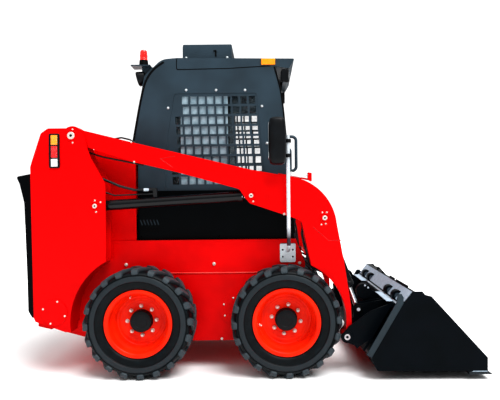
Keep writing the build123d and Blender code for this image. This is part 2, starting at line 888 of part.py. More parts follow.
# ---------------------------------------------------------------- bucket
floor_back = (bucket_floor_x, bucket_floor_z + 7)
floor_front = (bucket_lip_x, bucket_floor_z - 2)
bucket_outline = [
    bucket_top,
    (1170, bucket_top[1]),
    (1187, 564),
    (1229, 553),
    (bucket_lip_x + 1, 148),
    floor_front,
    (*floor_back, 20),
    (*bucket_heel, 20),
    bucket_bend,
]
inner_back = shifted(bucket_heel, bucket_bend, -bucket_sheet)
inner_flange = shifted(bucket_bend, bucket_top, -bucket_sheet)
bucket_hollow = [
    along(*inner_flange, pair_length(bucket_bend, bucket_top) + 60),
    (bucket_bend[0] + 10, bucket_bend[1] - 6),
    (*inner_back[0], 20),
    (floor_back[0] + 6, floor_back[1] + bucket_sheet, 20),
    (bucket_lip_x + 60, floor_front[1] + bucket_sheet),
    (bucket_lip_x + 60, bucket_top[1] + 60),
]
with BuildPart() as bucket:
    with BuildSketch(side_plane(1, bucket_half)):
        with BuildLine():
            rounded(bucket_outline)
        make_face()
    extrude(amount=2 * bucket_half)
    with BuildSketch(side_plane(1, bucket_half - bucket_side)):
        with BuildLine():
            rounded(bucket_hollow)
        make_face()
    extrude(amount=2 * (bucket_half - bucket_side), mode=Mode.SUBTRACT)
    # Rails behind the back sheet that seat on the coupler's face
    for distance in (70, pair_length(bucket_heel, bucket_bend) - 60):
        low = along(bucket_heel, bucket_bend, distance)
        high = along(bucket_heel, bucket_bend, distance + 30)
        with BuildSketch(side_plane(1, tower_outer)):
            with BuildLine():
                Polyline(*shifted(low, high, 0), *reversed(shifted(low, high, coupler_standoff)), close=True)
            make_face()
        extrude(amount=2 * tower_outer)
    # Side ribs that stand behind the back sheet, lugs on the top edge, half-round holes in the sloping flange
    flange = Plane(origin=(bucket_bend[0], 0, bucket_bend[1]), x_dir=(0, -1, 0), z_dir=(bucket_bend[1] - bucket_top[1], 0, bucket_top[0] - bucket_bend[0]))
    for side in hands.values():
        plane, depth = band(side, bucket_half - 4 - side_rib, bucket_half - 4)
        with BuildSketch(plane):
            with BuildLine():
                foot, head = along(bucket_heel, bucket_bend, 12), along(bucket_heel, bucket_bend, pair_length(bucket_heel, bucket_bend) + 20)
                Polyline(*shifted(foot, head, -2), *reversed(shifted(along(foot, head, 30), bucket_bend, side_rib_depth)), close=True)
            make_face()
        extrude(amount=depth)
        for inner, outer in top_lugs:
            plane, depth = band(side, inner, outer)
            with BuildSketch(plane):
                with Locations((bucket_top[0] + 4, bucket_top[1] + top_lug_h / 2 - 2)):
                    Rectangle(top_lug_plate, top_lug_h + 4)
            extrude(amount=depth)
        for y in pocket_y:
            with BuildSketch(flange):
                with Locations((side * y, 8)):
                    Circle(pocket_r)
                with Locations((side * y, 8 - pocket_r)):
                    Rectangle(2 * pocket_r, 2 * pocket_r, mode=Mode.SUBTRACT)
            extrude(amount=bucket_sheet, both=True, mode=Mode.SUBTRACT)
bucket.part.label = "bucket"
export_step(bucket.part, "parts/bucket.step")

edge_z = floor_front[1]
with BuildPart() as cutting_edge:
    with BuildSketch(side_plane(1, bucket_half)):
        with BuildLine():
            Polyline(
                (edge_tip_x - edge_width, edge_z),
                (edge_tip_x - 30, edge_z),
                (edge_tip_x, edge_z - edge_thickness + 4),
                (edge_tip_x, edge_z - edge_thickness),
                (edge_tip_x - edge_width, edge_z - edge_thickness),
                close=True,
            )
        make_face()
    extrude(amount=2 * bucket_half)
cutting_edge.part.label = "cutting_edge"
export_step(cutting_edge.part, "parts/cutting_edge.step")

# ---------------------------------------------------------------- cab sides
side_outline = [
    (cab_rear_x, chassis_top),
    (cab_rear_x, 1560),
    (-824, 1635),
    (-733, 2116, 60),
    (-605, 2235, 120),
    (roof_rear_x, cab_top),
    (roof_rear_x, roof_edge_z),
    *cab_front,
]
window = [
    (-515, window_top, 25),
    (85, window_top, 25),
    (145, window_bottom, 25),
    (-590, window_bottom, 25),
    (-566, 1690),
]
for hand, side in hands.items():
    with BuildPart() as cab_side:
        plane, depth = band(side, cab_y - cab_wall, cab_y)
        with BuildSketch(plane):
            with BuildLine():
                rounded(side_outline)
            make_face()
            with BuildLine():
                rounded(window)
            make_face(mode=Mode.SUBTRACT)
        extrude(amount=depth)
        for z in door_hinge_z if hand == "left" else ():
            with BuildSketch(door_hinge_plane(z).offset(-hinge_lug_h)):
                with Locations((-19, 12)):
                    Rectangle(58, 36)
            extrude(amount=hinge_lug_h)
            with BuildSketch(door_hinge_plane(z)):
                Circle(hinge_pin_r)
            extrude(amount=knuckle_h)
    cab_side.part.label = f"cab_side_{hand}"
    export_step(cab_side.part, f"parts/cab_side_{hand}.step")

# ---------------------------------------------------------------- window screens
column_lean = (145 - 85) / (window_top - window_bottom)
screen_out = cab_y - 4
with BuildPart() as window_screens:
    for side in hands.values():
        plane, depth = band(side, screen_out - screen_sheet, screen_out)
        with BuildSketch(plane):
            with BuildLine():
                rounded(window)
            make_face()
            for row in range(9):
                z = window_top - 22 - screen_hole_h / 2 - row * screen_pitch_z
                x_right = 85 + column_lean * (window_top - z) - 16 - screen_hole_w / 2
                x_left = -515 - 0.13 * (window_top - z) + 20 + screen_hole_w / 2
                columns = int((x_right - x_left) / screen_pitch_x) + 1
                for column in range(columns):
                    with Locations((x_right - column * screen_pitch_x, z)):
                        Rectangle(screen_hole_w, screen_hole_h, mode=Mode.SUBTRACT)
        extrude(amount=depth)
window_screens.part.label = "window_screens"
export_step(window_screens.part, "parts/window_screens.step")

# ---------------------------------------------------------------- cab roof and rear wall
roof_section = [
    (roof_rear_x, cab_top),
    (roof_front_x, cab_top - 13, 6),
    (roof_front_x - 40, roof_edge_z + 6),
    (cab_front[0][0], cab_front[0][1]),
    (roof_rear_x, roof_edge_z),
]
roof_hollow = [
    (roof_rear_x + roof_sheet, cab_top - roof_sheet),
    (roof_front_x - 60, cab_top - 13 - roof_sheet),
    (roof_front_x - 80, roof_edge_z - 30),
    (roof_rear_x + roof_sheet, roof_edge_z - 30),
]
with BuildPart() as cab_roof:
    with BuildSketch(side_plane(1, cab_y)):
        with BuildLine():
            rounded(roof_section)
        make_face()
    extrude(amount=2 * cab_y)
    with BuildSketch(side_plane(1, cab_y - cab_wall)):
        with BuildLine():
            Polyline(*roof_hollow, close=True)
        make_face()
    extrude(amount=2 * (cab_y - cab_wall), mode=Mode.SUBTRACT)
cab_roof.part.label = "cab_roof"
export_step(cab_roof.part, "parts/cab_roof.step")

rear_outer = [(-824, 1635), (-733, 2116, 60), (-605, 2235, 120), (roof_rear_x, cab_top)]
rear_inner = [(roof_rear_x, cab_top - 40), (-600, 2194, 90), (-700, 2100, 40), (-790, 1620), (-790, 1500)]
cab_inner = cab_y - cab_wall
with BuildPart() as cab_rear:
    with BuildSketch(side_plane(1, cab_inner)):
        with BuildLine():
            rounded([(cab_rear_x - 3, 1500), (cab_rear_x - 3, 1560), *rear_outer, *rear_inner[:-1], (-750, 1600), (-750, 1500)])
        make_face()
    extrude(amount=2 * cab_inner)
    with BuildSketch(Plane.YZ.offset(cab_rear_x - 115)):
        with Locations((0, rear_window_z)):
            RectangleRounded(rear_window_w, rear_window_h, rear_window_corner)
    extrude(amount=250, mode=Mode.SUBTRACT)
cab_rear.part.label = "cab_rear"
export_step(cab_rear.part, "parts/cab_rear.step")

# ---------------------------------------------------------------- cab floor with seat box
floor_line = [(380, floor_z), (-230, floor_z), (-230, seat_z), (-740, seat_z), (-740, 1500)]
floor_back_line = [(-746, 1500), (-746, seat_z - 6), (-236, seat_z - 6), (-236, floor_z - 6), (380, floor_z - 6)]
with BuildPart() as cab_floor:
    with BuildSketch(side_plane(1, cab_inner)):
        with BuildLine():
            Polyline(*floor_line, *floor_back_line, close=True)
        make_face()
    extrude(amount=2 * cab_inner)
cab_floor.part.label = "cab_floor"
export_step(cab_floor.part, "parts/cab_floor.step")

with BuildPart() as seat:
    with BuildSketch(side_plane(1, seat_half)):
        with BuildLine():
            rounded([
                (-160, seat_z, 20), (-160, seat_z + 115, 50), (-520, seat_z + 105, 60),
                (-600, seat_back_z, 50), (-690, seat_back_z, 50), (-690, seat_z, 40),
            ])
        make_face()
    extrude(amount=2 * seat_half)
seat.part.label = "seat"
export_step(seat.part, "parts/seat.step")

with BuildPart() as control_levers:
    for side in hands.values():
        with BuildSketch(Plane.XY.offset(floor_z)):
            with Locations((lever_box_x, side * lever_box_y)):
                Rectangle(90, 70)
        extrude(amount=lever_box_h)
        with BuildSketch(Plane.XY.offset(floor_z + lever_box_h)):
            with Locations((lever_box_x, side * lever_box_y)):
                Circle(12)
        extrude(amount=lever_h)
        with BuildSketch(Plane.XY.offset(floor_z + lever_box_h + lever_h)):
            with Locations((lever_box_x, side * lever_box_y)):
                Circle(grip_r)
        extrude(amount=grip_h)
control_levers.part.label = "control_levers"
export_step(control_levers.part, "parts/control_levers.step")

# ---------------------------------------------------------------- cab glass
rear_low, rear_high = rear_outer[0], rear_outer[1][:2]
pane_out = shifted(rear_low, rear_high, -rear_glass_depth)
pane_in = shifted(rear_low, rear_high, -rear_glass_depth - glass)
with BuildPart() as rear_pane:
    with BuildSketch(side_plane(1, cab_inner)):
        with BuildLine():
            Polyline(*pane_out, *reversed(pane_in), close=True)
        make_face()
    extrude(amount=2 * cab_inner)
    with BuildSketch(Plane.YZ.offset(cab_rear_x - 115)):
        with Locations((0, rear_window_z)):
            RectangleRounded(rear_window_w - 2 * seat_gap, rear_window_h - 2 * seat_gap, rear_window_corner)
    extrude(amount=250, mode=Mode.INTERSECT)
with BuildPart() as cab_glass:
    for side in hands.values():
        plane, depth = band(side, cab_y - cab_wall + 6, cab_y - cab_wall + 6 + glass)
        with BuildSketch(plane):
            with BuildLine():
                rounded(window)
            make_face()
        extrude(amount=depth)
    add(rear_pane.part)
cab_glass.part.label = "cab_glass"
export_step(cab_glass.part, "parts/cab_glass.step")

# ---------------------------------------------------------------- cab door
def door_section(behind_out, behind_in):
    """Side section of a sheet that follows the cab's front edge between two depths behind it."""
    heights = [door_top, *[z for x, z in cab_front if door_bottom < z < door_top], door_bottom]
    out = [(front_x(z) - behind_out, z) for z in heights]
    return out + [(front_x(z) - behind_in, z) for z in reversed(heights)]


pane_bottom = door_bottom + 90
with BuildPart() as door_frame:
    with BuildSketch(side_plane(1, door_half)):
        with BuildLine():
            Polyline(*door_section(3, 3 + door_thickness), close=True)
        make_face()
    extrude(amount=2 * door_half)
    with BuildSketch(Plane.YZ):
        with Locations((0, (door_top - door_border + pane_bottom) / 2)):
            RectangleRounded(2 * (door_half - door_border), door_top - door_border - pane_bottom, 40)
    extrude(amount=500, mode=Mode.SUBTRACT)
    for z in door_hinge_z:
        with BuildSketch(door_hinge_plane(z).offset(seat_gap)):
            with Locations((-23, -13.5)):
                Rectangle(46, 27)
            Circle(knuckle_r)
            Circle(hinge_pin_r + running_fit, mode=Mode.SUBTRACT)
        extrude(amount=knuckle_h - 10)
door_frame.part.label = "door_frame"
export_step(door_frame.part, "parts/door_frame.step")

with BuildPart() as door_glass:
    with BuildSketch(side_plane(1, door_half)):
        with BuildLine():
            Polyline(*door_section(12, 12 + glass), close=True)
        make_face()
    extrude(amount=2 * door_half)
    with BuildSketch(Plane.YZ):
        with Locations((0, (door_top - door_border + pane_bottom) / 2)):
            RectangleRounded(2 * (door_half - door_border), door_top - door_border - pane_bottom, 40)
    extrude(amount=500, mode=Mode.INTERSECT)
door_glass.part.label = "door_glass"
export_step(door_glass.part, "parts/door_glass.step")

# ---------------------------------------------------------------- black side panels with louvres
for hand, side in hands.items():
    with BuildPart() as side_panel:
        plane, depth = band(side, cab_y, cab_y + 6)
        with BuildSketch(plane):
            with BuildLine():
                Polyline((cab_rear_x, chassis_top), (cab_rear_x, window_bottom - 8), (318, window_bottom - 8), (346, chassis_top), close=True)
            make_face()
            for row_z in louvre_rows:
                for slot in range(louvres):
                    with Locations(Location((cab_rear_x + 21 + slot * louvre_pitch, row_z), 20)):
                        Rectangle(louvre_w, louvre_h, mode=Mode.SUBTRACT)
        extrude(amount=depth)
    side_panel.part.label = f"side_panel_{hand}"
    export_step(side_panel.part, f"parts/side_panel_{hand}.step")

# ---------------------------------------------------------------- engine end
hood_outline = [
    (cab_rear_x - 5, chassis_top),
    (cab_rear_x - 5, 1555),
    (-828, hood_front_top, 10),
    (-999, hood_front_top, 40),
    (hood_rear_x, hood_rear_top),
    (hood_rear_x, 1000),
    (tower_front_x - 23, 1000),
    (tower_front_x - 23, chassis_top),
]
hood_hollow = [
    (cab_rear_x + 10, chassis_top - 10),
    (cab_rear_x + 10, 1548),
    (-832, hood_front_top - hood_sheet),
    (-999, hood_front_top - hood_sheet, 34),
    (hood_rear_x - 10, hood_rear_top - hood_sheet - 4),
    (hood_rear_x - 10, chassis_top - 10),
]
with BuildPart() as engine_hood:
    with BuildSketch(side_plane(1, hood_y)):
        with BuildLine():
            rounded(hood_outline)
        make_face()
    extrude(amount=2 * hood_y)
    with BuildSketch(side_plane(1, hood_y - hood_sheet)):
        with BuildLine():
            rounded(hood_hollow)
        make_face()
    extrude(amount=2 * (hood_y - hood_sheet), mode=Mode.SUBTRACT)
engine_hood.part.label = "engine_hood"
export_step(engine_hood.part, "parts/engine_hood.step")

with BuildPart() as engine_block:
    with BuildSketch(Plane.XY.offset(chassis_bottom + plate)):
        with Locations((engine_x + engine_l / 2 - engine_mount_l / 2 - 15, 0)):
            Rectangle(engine_mount_l, 2 * case_inner)
    extrude(amount=engine_mount_h)
    with BuildSketch(Plane.XY.offset(chassis_bottom + plate + engine_mount_h)):
        with Locations((engine_x, 0)):
            RectangleRounded(engine_l, engine_w, 40)
    extrude(amount=engine_h)
engine_block.part.label = "engine_block"
export_step(engine_block.part, "parts/engine_block.step")

engine_door_outline = [
    (engine_door_x, engine_door_top),
    (-1530, engine_door_top, 10),
    (door_rear_x, 1386, 12),
    (-1604, 1334, 30),
    (-1572, 1199, 200),
    (-1555, 653),
    (-1551, 429, 30),
    (-1523, engine_door_bottom, 10),
    (engine_door_x, engine_door_bottom),
]
engine_door_hollow = [
    (engine_door_x + 20, engine_door_top - 20),
    (-1530, engine_door_top - 20),
    (-1590, 1345, 10),
    (-1566, 1199, 150),
    (-1549, 653),
    (-1545, 433, 20),
    (-1520, engine_door_bottom + 8),
    (engine_door_x + 20, engine_door_bottom + 8),
]
with BuildPart() as engine_door:
    with BuildSketch(side_plane(1, engine_door_y)):
        with BuildLine():
            rounded(engine_door_outline)
        make_face()
    extrude(amount=2 * engine_door_y)
    with BuildSketch(side_plane(1, engine_door_y - 8)):
        with BuildLine():
            rounded(engine_door_hollow)
        make_face()
    extrude(amount=2 * (engine_door_y - 8), mode=Mode.SUBTRACT)
    with BuildSketch(Plane.YZ.offset(-1640)):
        with GridLocations(0, 44, 1, 12):
            with Locations((0, 920)):
                SlotOverall(640, 20, mode=Mode.ADD)
    extrude(amount=120, mode=Mode.SUBTRACT)
    for z in engine_hinge_z:
        leaf_length = engine_hinge[0] - engine_door_x
        with BuildSketch(Plane.XY.offset(z + seat_gap)):
            with Locations((engine_hinge[0] - leaf_length / 2, engine_hinge[1] - 1)):
                Rectangle(leaf_length, 2 * knuckle_r - 2)
            with Locations(engine_hinge):
                Circle(knuckle_r)
                Circle(hinge_pin_r + running_fit, mode=Mode.SUBTRACT)
        extrude(amount=knuckle_h - 10)
engine_door.part.label = "engine_door"
export_step(engine_door.part, "parts/engine_door.step")

# ---------------------------------------------------------------- lamps, beacon, roof unit
with BuildPart() as tail_lamps:
    for side in hands.values():
        plane, depth = band(side, tower_outer, tower_outer + 16)
        with BuildSketch(plane):
            with Locations((-1293, 1550)):
                RectangleRounded(73, 233, 8)
        extrude(amount=depth)
tail_lamps.part.label = "tail_lamps"
export_step(tail_lamps.part, "parts/tail_lamps.step")

with BuildPart() as roof_unit:
    with BuildSketch(Plane.XY.offset(cab_top)):
        with Locations((roof_unit_x, 0)):
            Rectangle(roof_unit_l, roof_unit_w)
    extrude(amount=roof_unit_h)
roof_unit.part.label = "roof_unit"
export_step(roof_unit.part, "parts/roof_unit.step")

with BuildPart() as lamp_brackets:
    for side in hands.values():
        with BuildSketch(Plane.XY.offset(lamp_plate_z)):
            with Locations((beacon_x - 13, side * lamp_y)):
                Rectangle(140, 120)
        extrude(amount=lamp_plate_t)
        with BuildSketch(Plane.XZ.offset(-side * lamp_y)):
            with BuildLine():
                Polyline(
                    (beacon_x - 12, lamp_plate_z), (beacon_x + 88, lamp_plate_z),
                    (beacon_x + 88, lamp_plate_z - 70), (beacon_x - 12, lamp_plate_z - 70), close=True,
                )
            make_face()
            with BuildLine():
                rounded(side_outline)
            make_face(mode=Mode.SUBTRACT)
        extrude(amount=6, both=True)
lamp_brackets.part.label = "lamp_brackets"
export_step(lamp_brackets.part, "parts/lamp_brackets.step")

with BuildPart() as beacon:
    with BuildSketch(Plane.XY.offset(lamp_plate_z + lamp_plate_t)):
        with Locations((beacon_x, -lamp_y)):
            Circle(beacon_r)
    extrude(amount=beacon_base_h, taper=3)
    with BuildSketch(Plane.XY.offset(lamp_plate_z + lamp_plate_t + beacon_base_h)):
        with Locations((beacon_x, -lamp_y)):
            Circle(beacon_r - 6)
    extrude(amount=beacon_h - beacon_base_h - lamp_plate_t, taper=2)
beacon.part.label = "beacon"
export_step(beacon.part, "parts/beacon.step")

with BuildPart() as work_lamps:
    for side in hands.values():
        with BuildSketch(Plane.YZ.offset(beacon_x - 87)):
            with Locations((side * lamp_y, lamp_plate_z - seat_gap - lamp_h / 2)):
                RectangleRounded(lamp_w, lamp_h, 14)
        extrude(amount=lamp_depth)
        with BuildSketch(Plane.YZ.offset(roof_front_x - 101)):
            with Locations((side * front_lamp_y, roof_edge_z + 6 - seat_gap - lamp_h / 2)):
                RectangleRounded(front_lamp_w, lamp_h, 10)
        extrude(amount=lamp_depth)
work_lamps.part.label = "work_lamps"
export_step(work_lamps.part, "parts/work_lamps.step")

# ---------------------------------------------------------------- mirrors and grab handles
bracket_y = chassis_y + fold_proud
for hand, side in hands.items():
    with BuildPart() as mirror:
        plane, depth = band(side, bracket_y, bracket_y + 8)
        with BuildSketch(plane):
            with Locations((post_x, 825)):
                RectangleRounded(112, 136, 12)
        extrude(amount=depth)
        with BuildLine():
            FilletPolyline((post_x, side * (bracket_y + 8), 840), (post_x, side * post_y, 880), (post_x, side * post_y, 1640), radius=60)
        with BuildSketch(Plane(origin=(post_x, side * (bracket_y + 8), 840), z_dir=(0, side * 0.98, 0.19))):
            Circle(13)
        sweep()
    mirror.part.label = f"mirror_post_{hand}"
    export_step(mirror.part, f"parts/mirror_post_{hand}.step")

    with BuildPart() as mirror_head:
        with BuildSketch(Plane.XY.offset(1437)):
            with Locations((post_x - 13 - seat_gap - 59, side * 765)):
                RectangleRounded(118, 128, 30)
        extrude(amount=319)
    mirror_head.part.label = f"mirror_head_{hand}"
    export_step(mirror_head.part, f"parts/mirror_head_{hand}.step")

handle_y = cab_y - cab_wall / 2
handle_high = handle_low + handle_span
with BuildPart() as grab_handles:
    for side in hands.values():
        with BuildLine():
            FilletPolyline(
                (front_x(handle_high - handle_r), side * handle_y, handle_high),
                (handle_x, side * handle_y, handle_high),
                (handle_x, side * handle_y, handle_low),
                (front_x(handle_low - handle_r), side * handle_y, handle_low),
                radius=30,
            )
        with BuildSketch(Plane(origin=(front_x(handle_high - handle_r), side * handle_y, handle_high), z_dir=(1, 0, 0))):
            Circle(handle_r)
        sweep()
grab_handles.part.label = "grab_handles"
export_step(grab_handles.part, "parts/grab_handles.step")
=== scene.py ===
# Skid steer loader: finishes, tyres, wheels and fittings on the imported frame. Metres, Z up, +X forward.
import json

import bmesh
import bpy
import numpy as np
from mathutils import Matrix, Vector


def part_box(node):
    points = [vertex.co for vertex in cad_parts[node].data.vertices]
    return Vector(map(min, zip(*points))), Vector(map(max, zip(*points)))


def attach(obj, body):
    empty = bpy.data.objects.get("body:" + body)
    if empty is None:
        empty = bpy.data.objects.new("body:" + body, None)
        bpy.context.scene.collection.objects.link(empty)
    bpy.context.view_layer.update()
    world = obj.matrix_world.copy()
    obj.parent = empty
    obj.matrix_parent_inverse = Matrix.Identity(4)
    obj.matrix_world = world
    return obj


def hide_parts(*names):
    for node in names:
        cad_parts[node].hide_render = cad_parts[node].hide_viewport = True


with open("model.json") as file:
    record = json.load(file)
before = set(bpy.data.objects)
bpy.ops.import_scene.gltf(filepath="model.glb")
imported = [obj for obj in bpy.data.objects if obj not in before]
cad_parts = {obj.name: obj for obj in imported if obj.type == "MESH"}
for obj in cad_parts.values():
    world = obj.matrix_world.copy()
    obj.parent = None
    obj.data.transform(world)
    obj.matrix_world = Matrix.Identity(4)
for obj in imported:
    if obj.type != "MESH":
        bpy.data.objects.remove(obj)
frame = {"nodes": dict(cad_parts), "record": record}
scene = bpy.context.scene
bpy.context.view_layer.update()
print("frame loaded, nodes:", len(frame["nodes"]))


# ---- colour, node and material helpers

def addObject(name, data):
    # one object in the scene that shows the data
    thing = bpy.data.objects.new(name, data)
    scene.collection.objects.link(thing)
    return thing


def fromHex(code):
    # sRGB hex to linear: the low end is a straight line, the rest a power of 2.4
    parts = [int(code[i:i + 2], 16) / 255 for i in (1, 3, 5)]
    return (*[c / 12.92 if c <= 0.04045 else ((c + 0.055) / 1.055) ** 2.4 for c in parts], 1.0)


def addNode(tree, kind, links=None, **settings):
    # one node: settings are its properties or its sockets' values, links say which output feeds a socket
    node = tree.nodes.new(kind)
    for name, value in settings.items():
        if hasattr(node, name):
            setattr(node, name, value)
        else:
            node.inputs[name.replace("_", " ")].default_value = value
    for socket, source in (links or {}).items():
        tree.links.new(source, node.inputs[socket])
    return node


def newMaterial(name, **shader):
    # a material with its shader's sockets set by name, and its object coordinates to place the patterns
    material = bpy.data.materials.new(name)
    material.use_nodes = True
    tree = material.node_tree
    bsdf = tree.nodes["Principled BSDF"]
    for socket, value in shader.items():
        bsdf.inputs[socket.replace("_", " ")].default_value = value
    place = addNode(tree, "ShaderNodeTexCoord").outputs["Object"]
    return material, tree, bsdf, place


def colourRamp(tree, source, stops):
    # stops are pairs of a position and an sRGB hex colour
    stops = [(position, fromHex(colour)) for position, colour in stops]
    ramp = addNode(tree, "ShaderNodeValToRGB", {"Fac": source})
    ramp.color_ramp.elements[0].position, ramp.color_ramp.elements[0].color = stops[0]
    ramp.color_ramp.elements[1].position, ramp.color_ramp.elements[1].color = stops[-1]
    for position, colour in stops[1:-1]:
        ramp.color_ramp.elements.new(position).color = colour
    return ramp.outputs["Color"]


def scaledNoise(tree, place, size, detail=3.0, stretch=(1, 1, 1)):
    # noise whose patches are about size metres across
    mapping = addNode(tree, "ShaderNodeMapping", {"Vector": place}, Scale=stretch)
    noise = addNode(tree, "ShaderNodeTexNoise", {"Vector": mapping.outputs["Vector"]}, Scale=1 / size, Detail=detail)
    return noise.outputs["Fac"]


def mixColour(tree, amount, first, second):
    # the first colour where the amount is 0 and the second where it is 1; each is a hex colour or an output
    node = tree.nodes.new("ShaderNodeMix")
    node.data_type = "RGBA"
    tree.links.new(amount, node.inputs["Factor"])
    for socket, value in ((node.inputs[6], first), (node.inputs[7], second)):
        if isinstance(value, str):
            socket.default_value = fromHex(value)
        else:
            tree.links.new(value, socket)
    return node.outputs[2]


def rescaled(tree, value, low, high, toLow=0.0, toHigh=1.0):
    # the value's run from low to high as one between two other ends, and no further
    span = {"From_Min": low, "From_Max": high, "To_Min": toLow, "To_Max": toHigh}
    return addNode(tree, "ShaderNodeMapRange", {"Value": value}, **span).outputs["Result"]


def addBump(tree, bsdf, height, distance, strength=1.0):
    # normals tilted by the slope of a height whose full step is the distance
    bump = addNode(tree, "ShaderNodeBump", {"Height": height}, Distance=distance, Strength=strength)
    tree.links.new(bump.outputs["Normal"], bsdf.inputs["Normal"])


def setTwoTone(tree, bsdf, source, dark, light, low=0.3, high=0.7):
    # base colour that runs from dark to light while the source rises from low to high
    tree.links.new(colourRamp(tree, source, [(low, dark), (high, light)]), bsdf.inputs["Base Color"])


# ---- finishes

def makePaintedSteel(name, colour, shade, roughness, peel=0.003, patch=0.2, gloss=0.3, coat=0.0, dustAndPaintedLight=0.0):
    # Gloss enamel sprayed on steel plate: the spray leaves an orange peel a few millimetres across,
    # and large patches differ a little in shade. Painted shade darkens the colour towards the ground, where less light
    # reaches under the body.
    material, tree, bsdf, place = newMaterial(name, Roughness=roughness, Specular_IOR_Level=gloss,
                                              Coat_Weight=coat, Coat_Roughness=0.06)
    tone = colourRamp(tree, scaledNoise(tree, place, patch, 2.0), [(0.3, shade), (0.65, colour)])
    # painted shade: below 0.9 m the colour is mixed towards dark red, up to the given amount at 0.15 m
    if dustAndPaintedLight:
        height = addNode(tree, "ShaderNodeSeparateXYZ", {"Vector": place}).outputs["Z"]
        tone = mixColour(tree, rescaled(tree, height, 0.9, 0.15, 0.0, dustAndPaintedLight), tone, "#6E0206")
    tree.links.new(tone, bsdf.inputs["Base Color"])
    addBump(tree, bsdf, scaledNoise(tree, place, peel, 1.0), 0.0002, 0.2)
    return material


def makeTyreRubber():
    # Moulded natural rubber with carbon black: dull, slightly blue-grey where the mould release dries,
    # with fine pits about a millimetre across; the sidewall's band and the lug tops are lighter as a painted highlight.
    material, tree, bsdf, place = newMaterial("moulded tyre rubber", Roughness=0.5, IOR=1.52,
                                              Specular_IOR_Level=0.16)
    bloom = scaledNoise(tree, place, 0.045, 4.0)
    tone = colourRamp(tree, bloom, [(0.3, "#03070A"), (0.55, "#060D11"), (0.75, "#0B161B")])
    highlightAmount = addNode(tree, "ShaderNodeAttribute", attribute_name="paintedHighlight").outputs["Fac"]
    # painted highlight: the rubber runs towards light grey by the amount stored per point
    tree.links.new(mixColour(tree, highlightAmount, tone, "#6F7C84"), bsdf.inputs["Base Color"])
    addBump(tree, bsdf, scaledNoise(tree, place, 0.0012, 2.0), 0.0004, 0.3)
    return material


def makeBareSteel(name, light, dark, roughness, grainLength, metallic=1.0):
    # Rolled or machined steel: grain runs along X in fine streaks, so highlights spread across it.
    material, tree, bsdf, place = newMaterial(name, Metallic=metallic)
    streaks = scaledNoise(tree, place, 0.002, 4.0, (0.002 / grainLength, 1, 1))
    setTwoTone(tree, bsdf, streaks, dark, light)
    tree.links.new(rescaled(tree, streaks, 0, 1, roughness - 0.07, roughness + 0.1), bsdf.inputs["Roughness"])
    addBump(tree, bsdf, streaks, 0.0001, 0.3)
    return material


def makePlated(name, light, dark, metallic, roughness, cell=0.006):
    # Zinc plate: crystals a few millimetres across give patches of lighter and darker grey.
    material, tree, bsdf, place = newMaterial(name, Metallic=metallic, Roughness=roughness)
    cells = addNode(tree, "ShaderNodeTexVoronoi", {"Vector": place}, Scale=1 / cell)
    setTwoTone(tree, bsdf, cells.outputs["Color"], dark, light, 0.0, 1.0)
    return material


def makeGlass(name, colour, dustAndPaintedLight, alpha, roughness=0.03):
    # Flat safety glass: a grey tint, clear enough to show what is behind, with a film of dust in soft
    # patches a few centimetres across. The film changes the colour and lets a little less light through.
    material, tree, bsdf, place = newMaterial(name, Roughness=roughness, IOR=1.52)
    film = scaledNoise(tree, place, 0.05, 3.0)
    # the light end is a dust film on the windows; on the sliding pane both ends are pale, a painted light for the
    # bright view through the glass
    setTwoTone(tree, bsdf, film, colour, dustAndPaintedLight)
    tree.links.new(rescaled(tree, film, 0.3, 0.7, alpha - 0.06, alpha + 0.06), bsdf.inputs["Alpha"])
    return material


def makePlastic(name, light, dark, roughness, texture=0.0009, gloss=0.4):
    # Injection-moulded plastic: an etched mould leaves a fine even grain under a millimetre across.
    material, tree, bsdf, place = newMaterial(name, Roughness=roughness, IOR=1.49, Specular_IOR_Level=gloss)
    grain = scaledNoise(tree, place, texture, 2.0)
    setTwoTone(tree, bsdf, scaledNoise(tree, place, 0.06, 2.0), dark, light)
    addBump(tree, bsdf, grain, 0.0002, 0.3)
    return material


def makeLens(name, colour, bright, glow=0.0):
    # Pressed acrylic lens: clear colour with small prisms 4 mm apart on the inside that break up the light.
    material, tree, bsdf, place = newMaterial(name, Roughness=0.15, IOR=1.49, Coat_Weight=0.3, Coat_Roughness=0.05,
                                              Emission_Color=fromHex(colour), Emission_Strength=glow)
    mapping = addNode(tree, "ShaderNodeMapping", {"Vector": place}, Scale=(250, 250, 250))
    prisms = addNode(tree, "ShaderNodeTexChecker", {"Vector": mapping.outputs["Vector"]}, Scale=1.0)
    tree.links.new(mixColour(tree, prisms.outputs["Fac"], colour, bright), bsdf.inputs["Base Color"])
    addBump(tree, bsdf, prisms.outputs["Fac"], 0.0006, 0.4)
    return material


def makeVinyl():
    # Coated fabric seat cover: a leather-like grain 2 mm across pressed into soft PVC, with a low sheen.
    material, tree, bsdf, place = newMaterial("embossed seat vinyl", Roughness=0.48, IOR=1.46, Sheen_Weight=0.1)
    grain = addNode(tree, "ShaderNodeTexVoronoi", {"Vector": place}, Scale=1 / 0.0022)
    setTwoTone(tree, bsdf, scaledNoise(tree, place, 0.08, 2.0), "#141516", "#202224")
    addBump(tree, bsdf, grain.outputs["Distance"], 0.0003, 0.5)
    return material


def makeCastIron():
    # Painted sand casting: a coarse skin with grains 1 to 3 mm across.
    material, tree, bsdf, place = newMaterial("painted cast iron", Metallic=0.3, Roughness=0.6)
    skin = scaledNoise(tree, place, 0.003, 4.0)
    setTwoTone(tree, bsdf, skin, "#1E2022", "#303336")
    addBump(tree, bsdf, skin, 0.0008, 0.6)
    return material


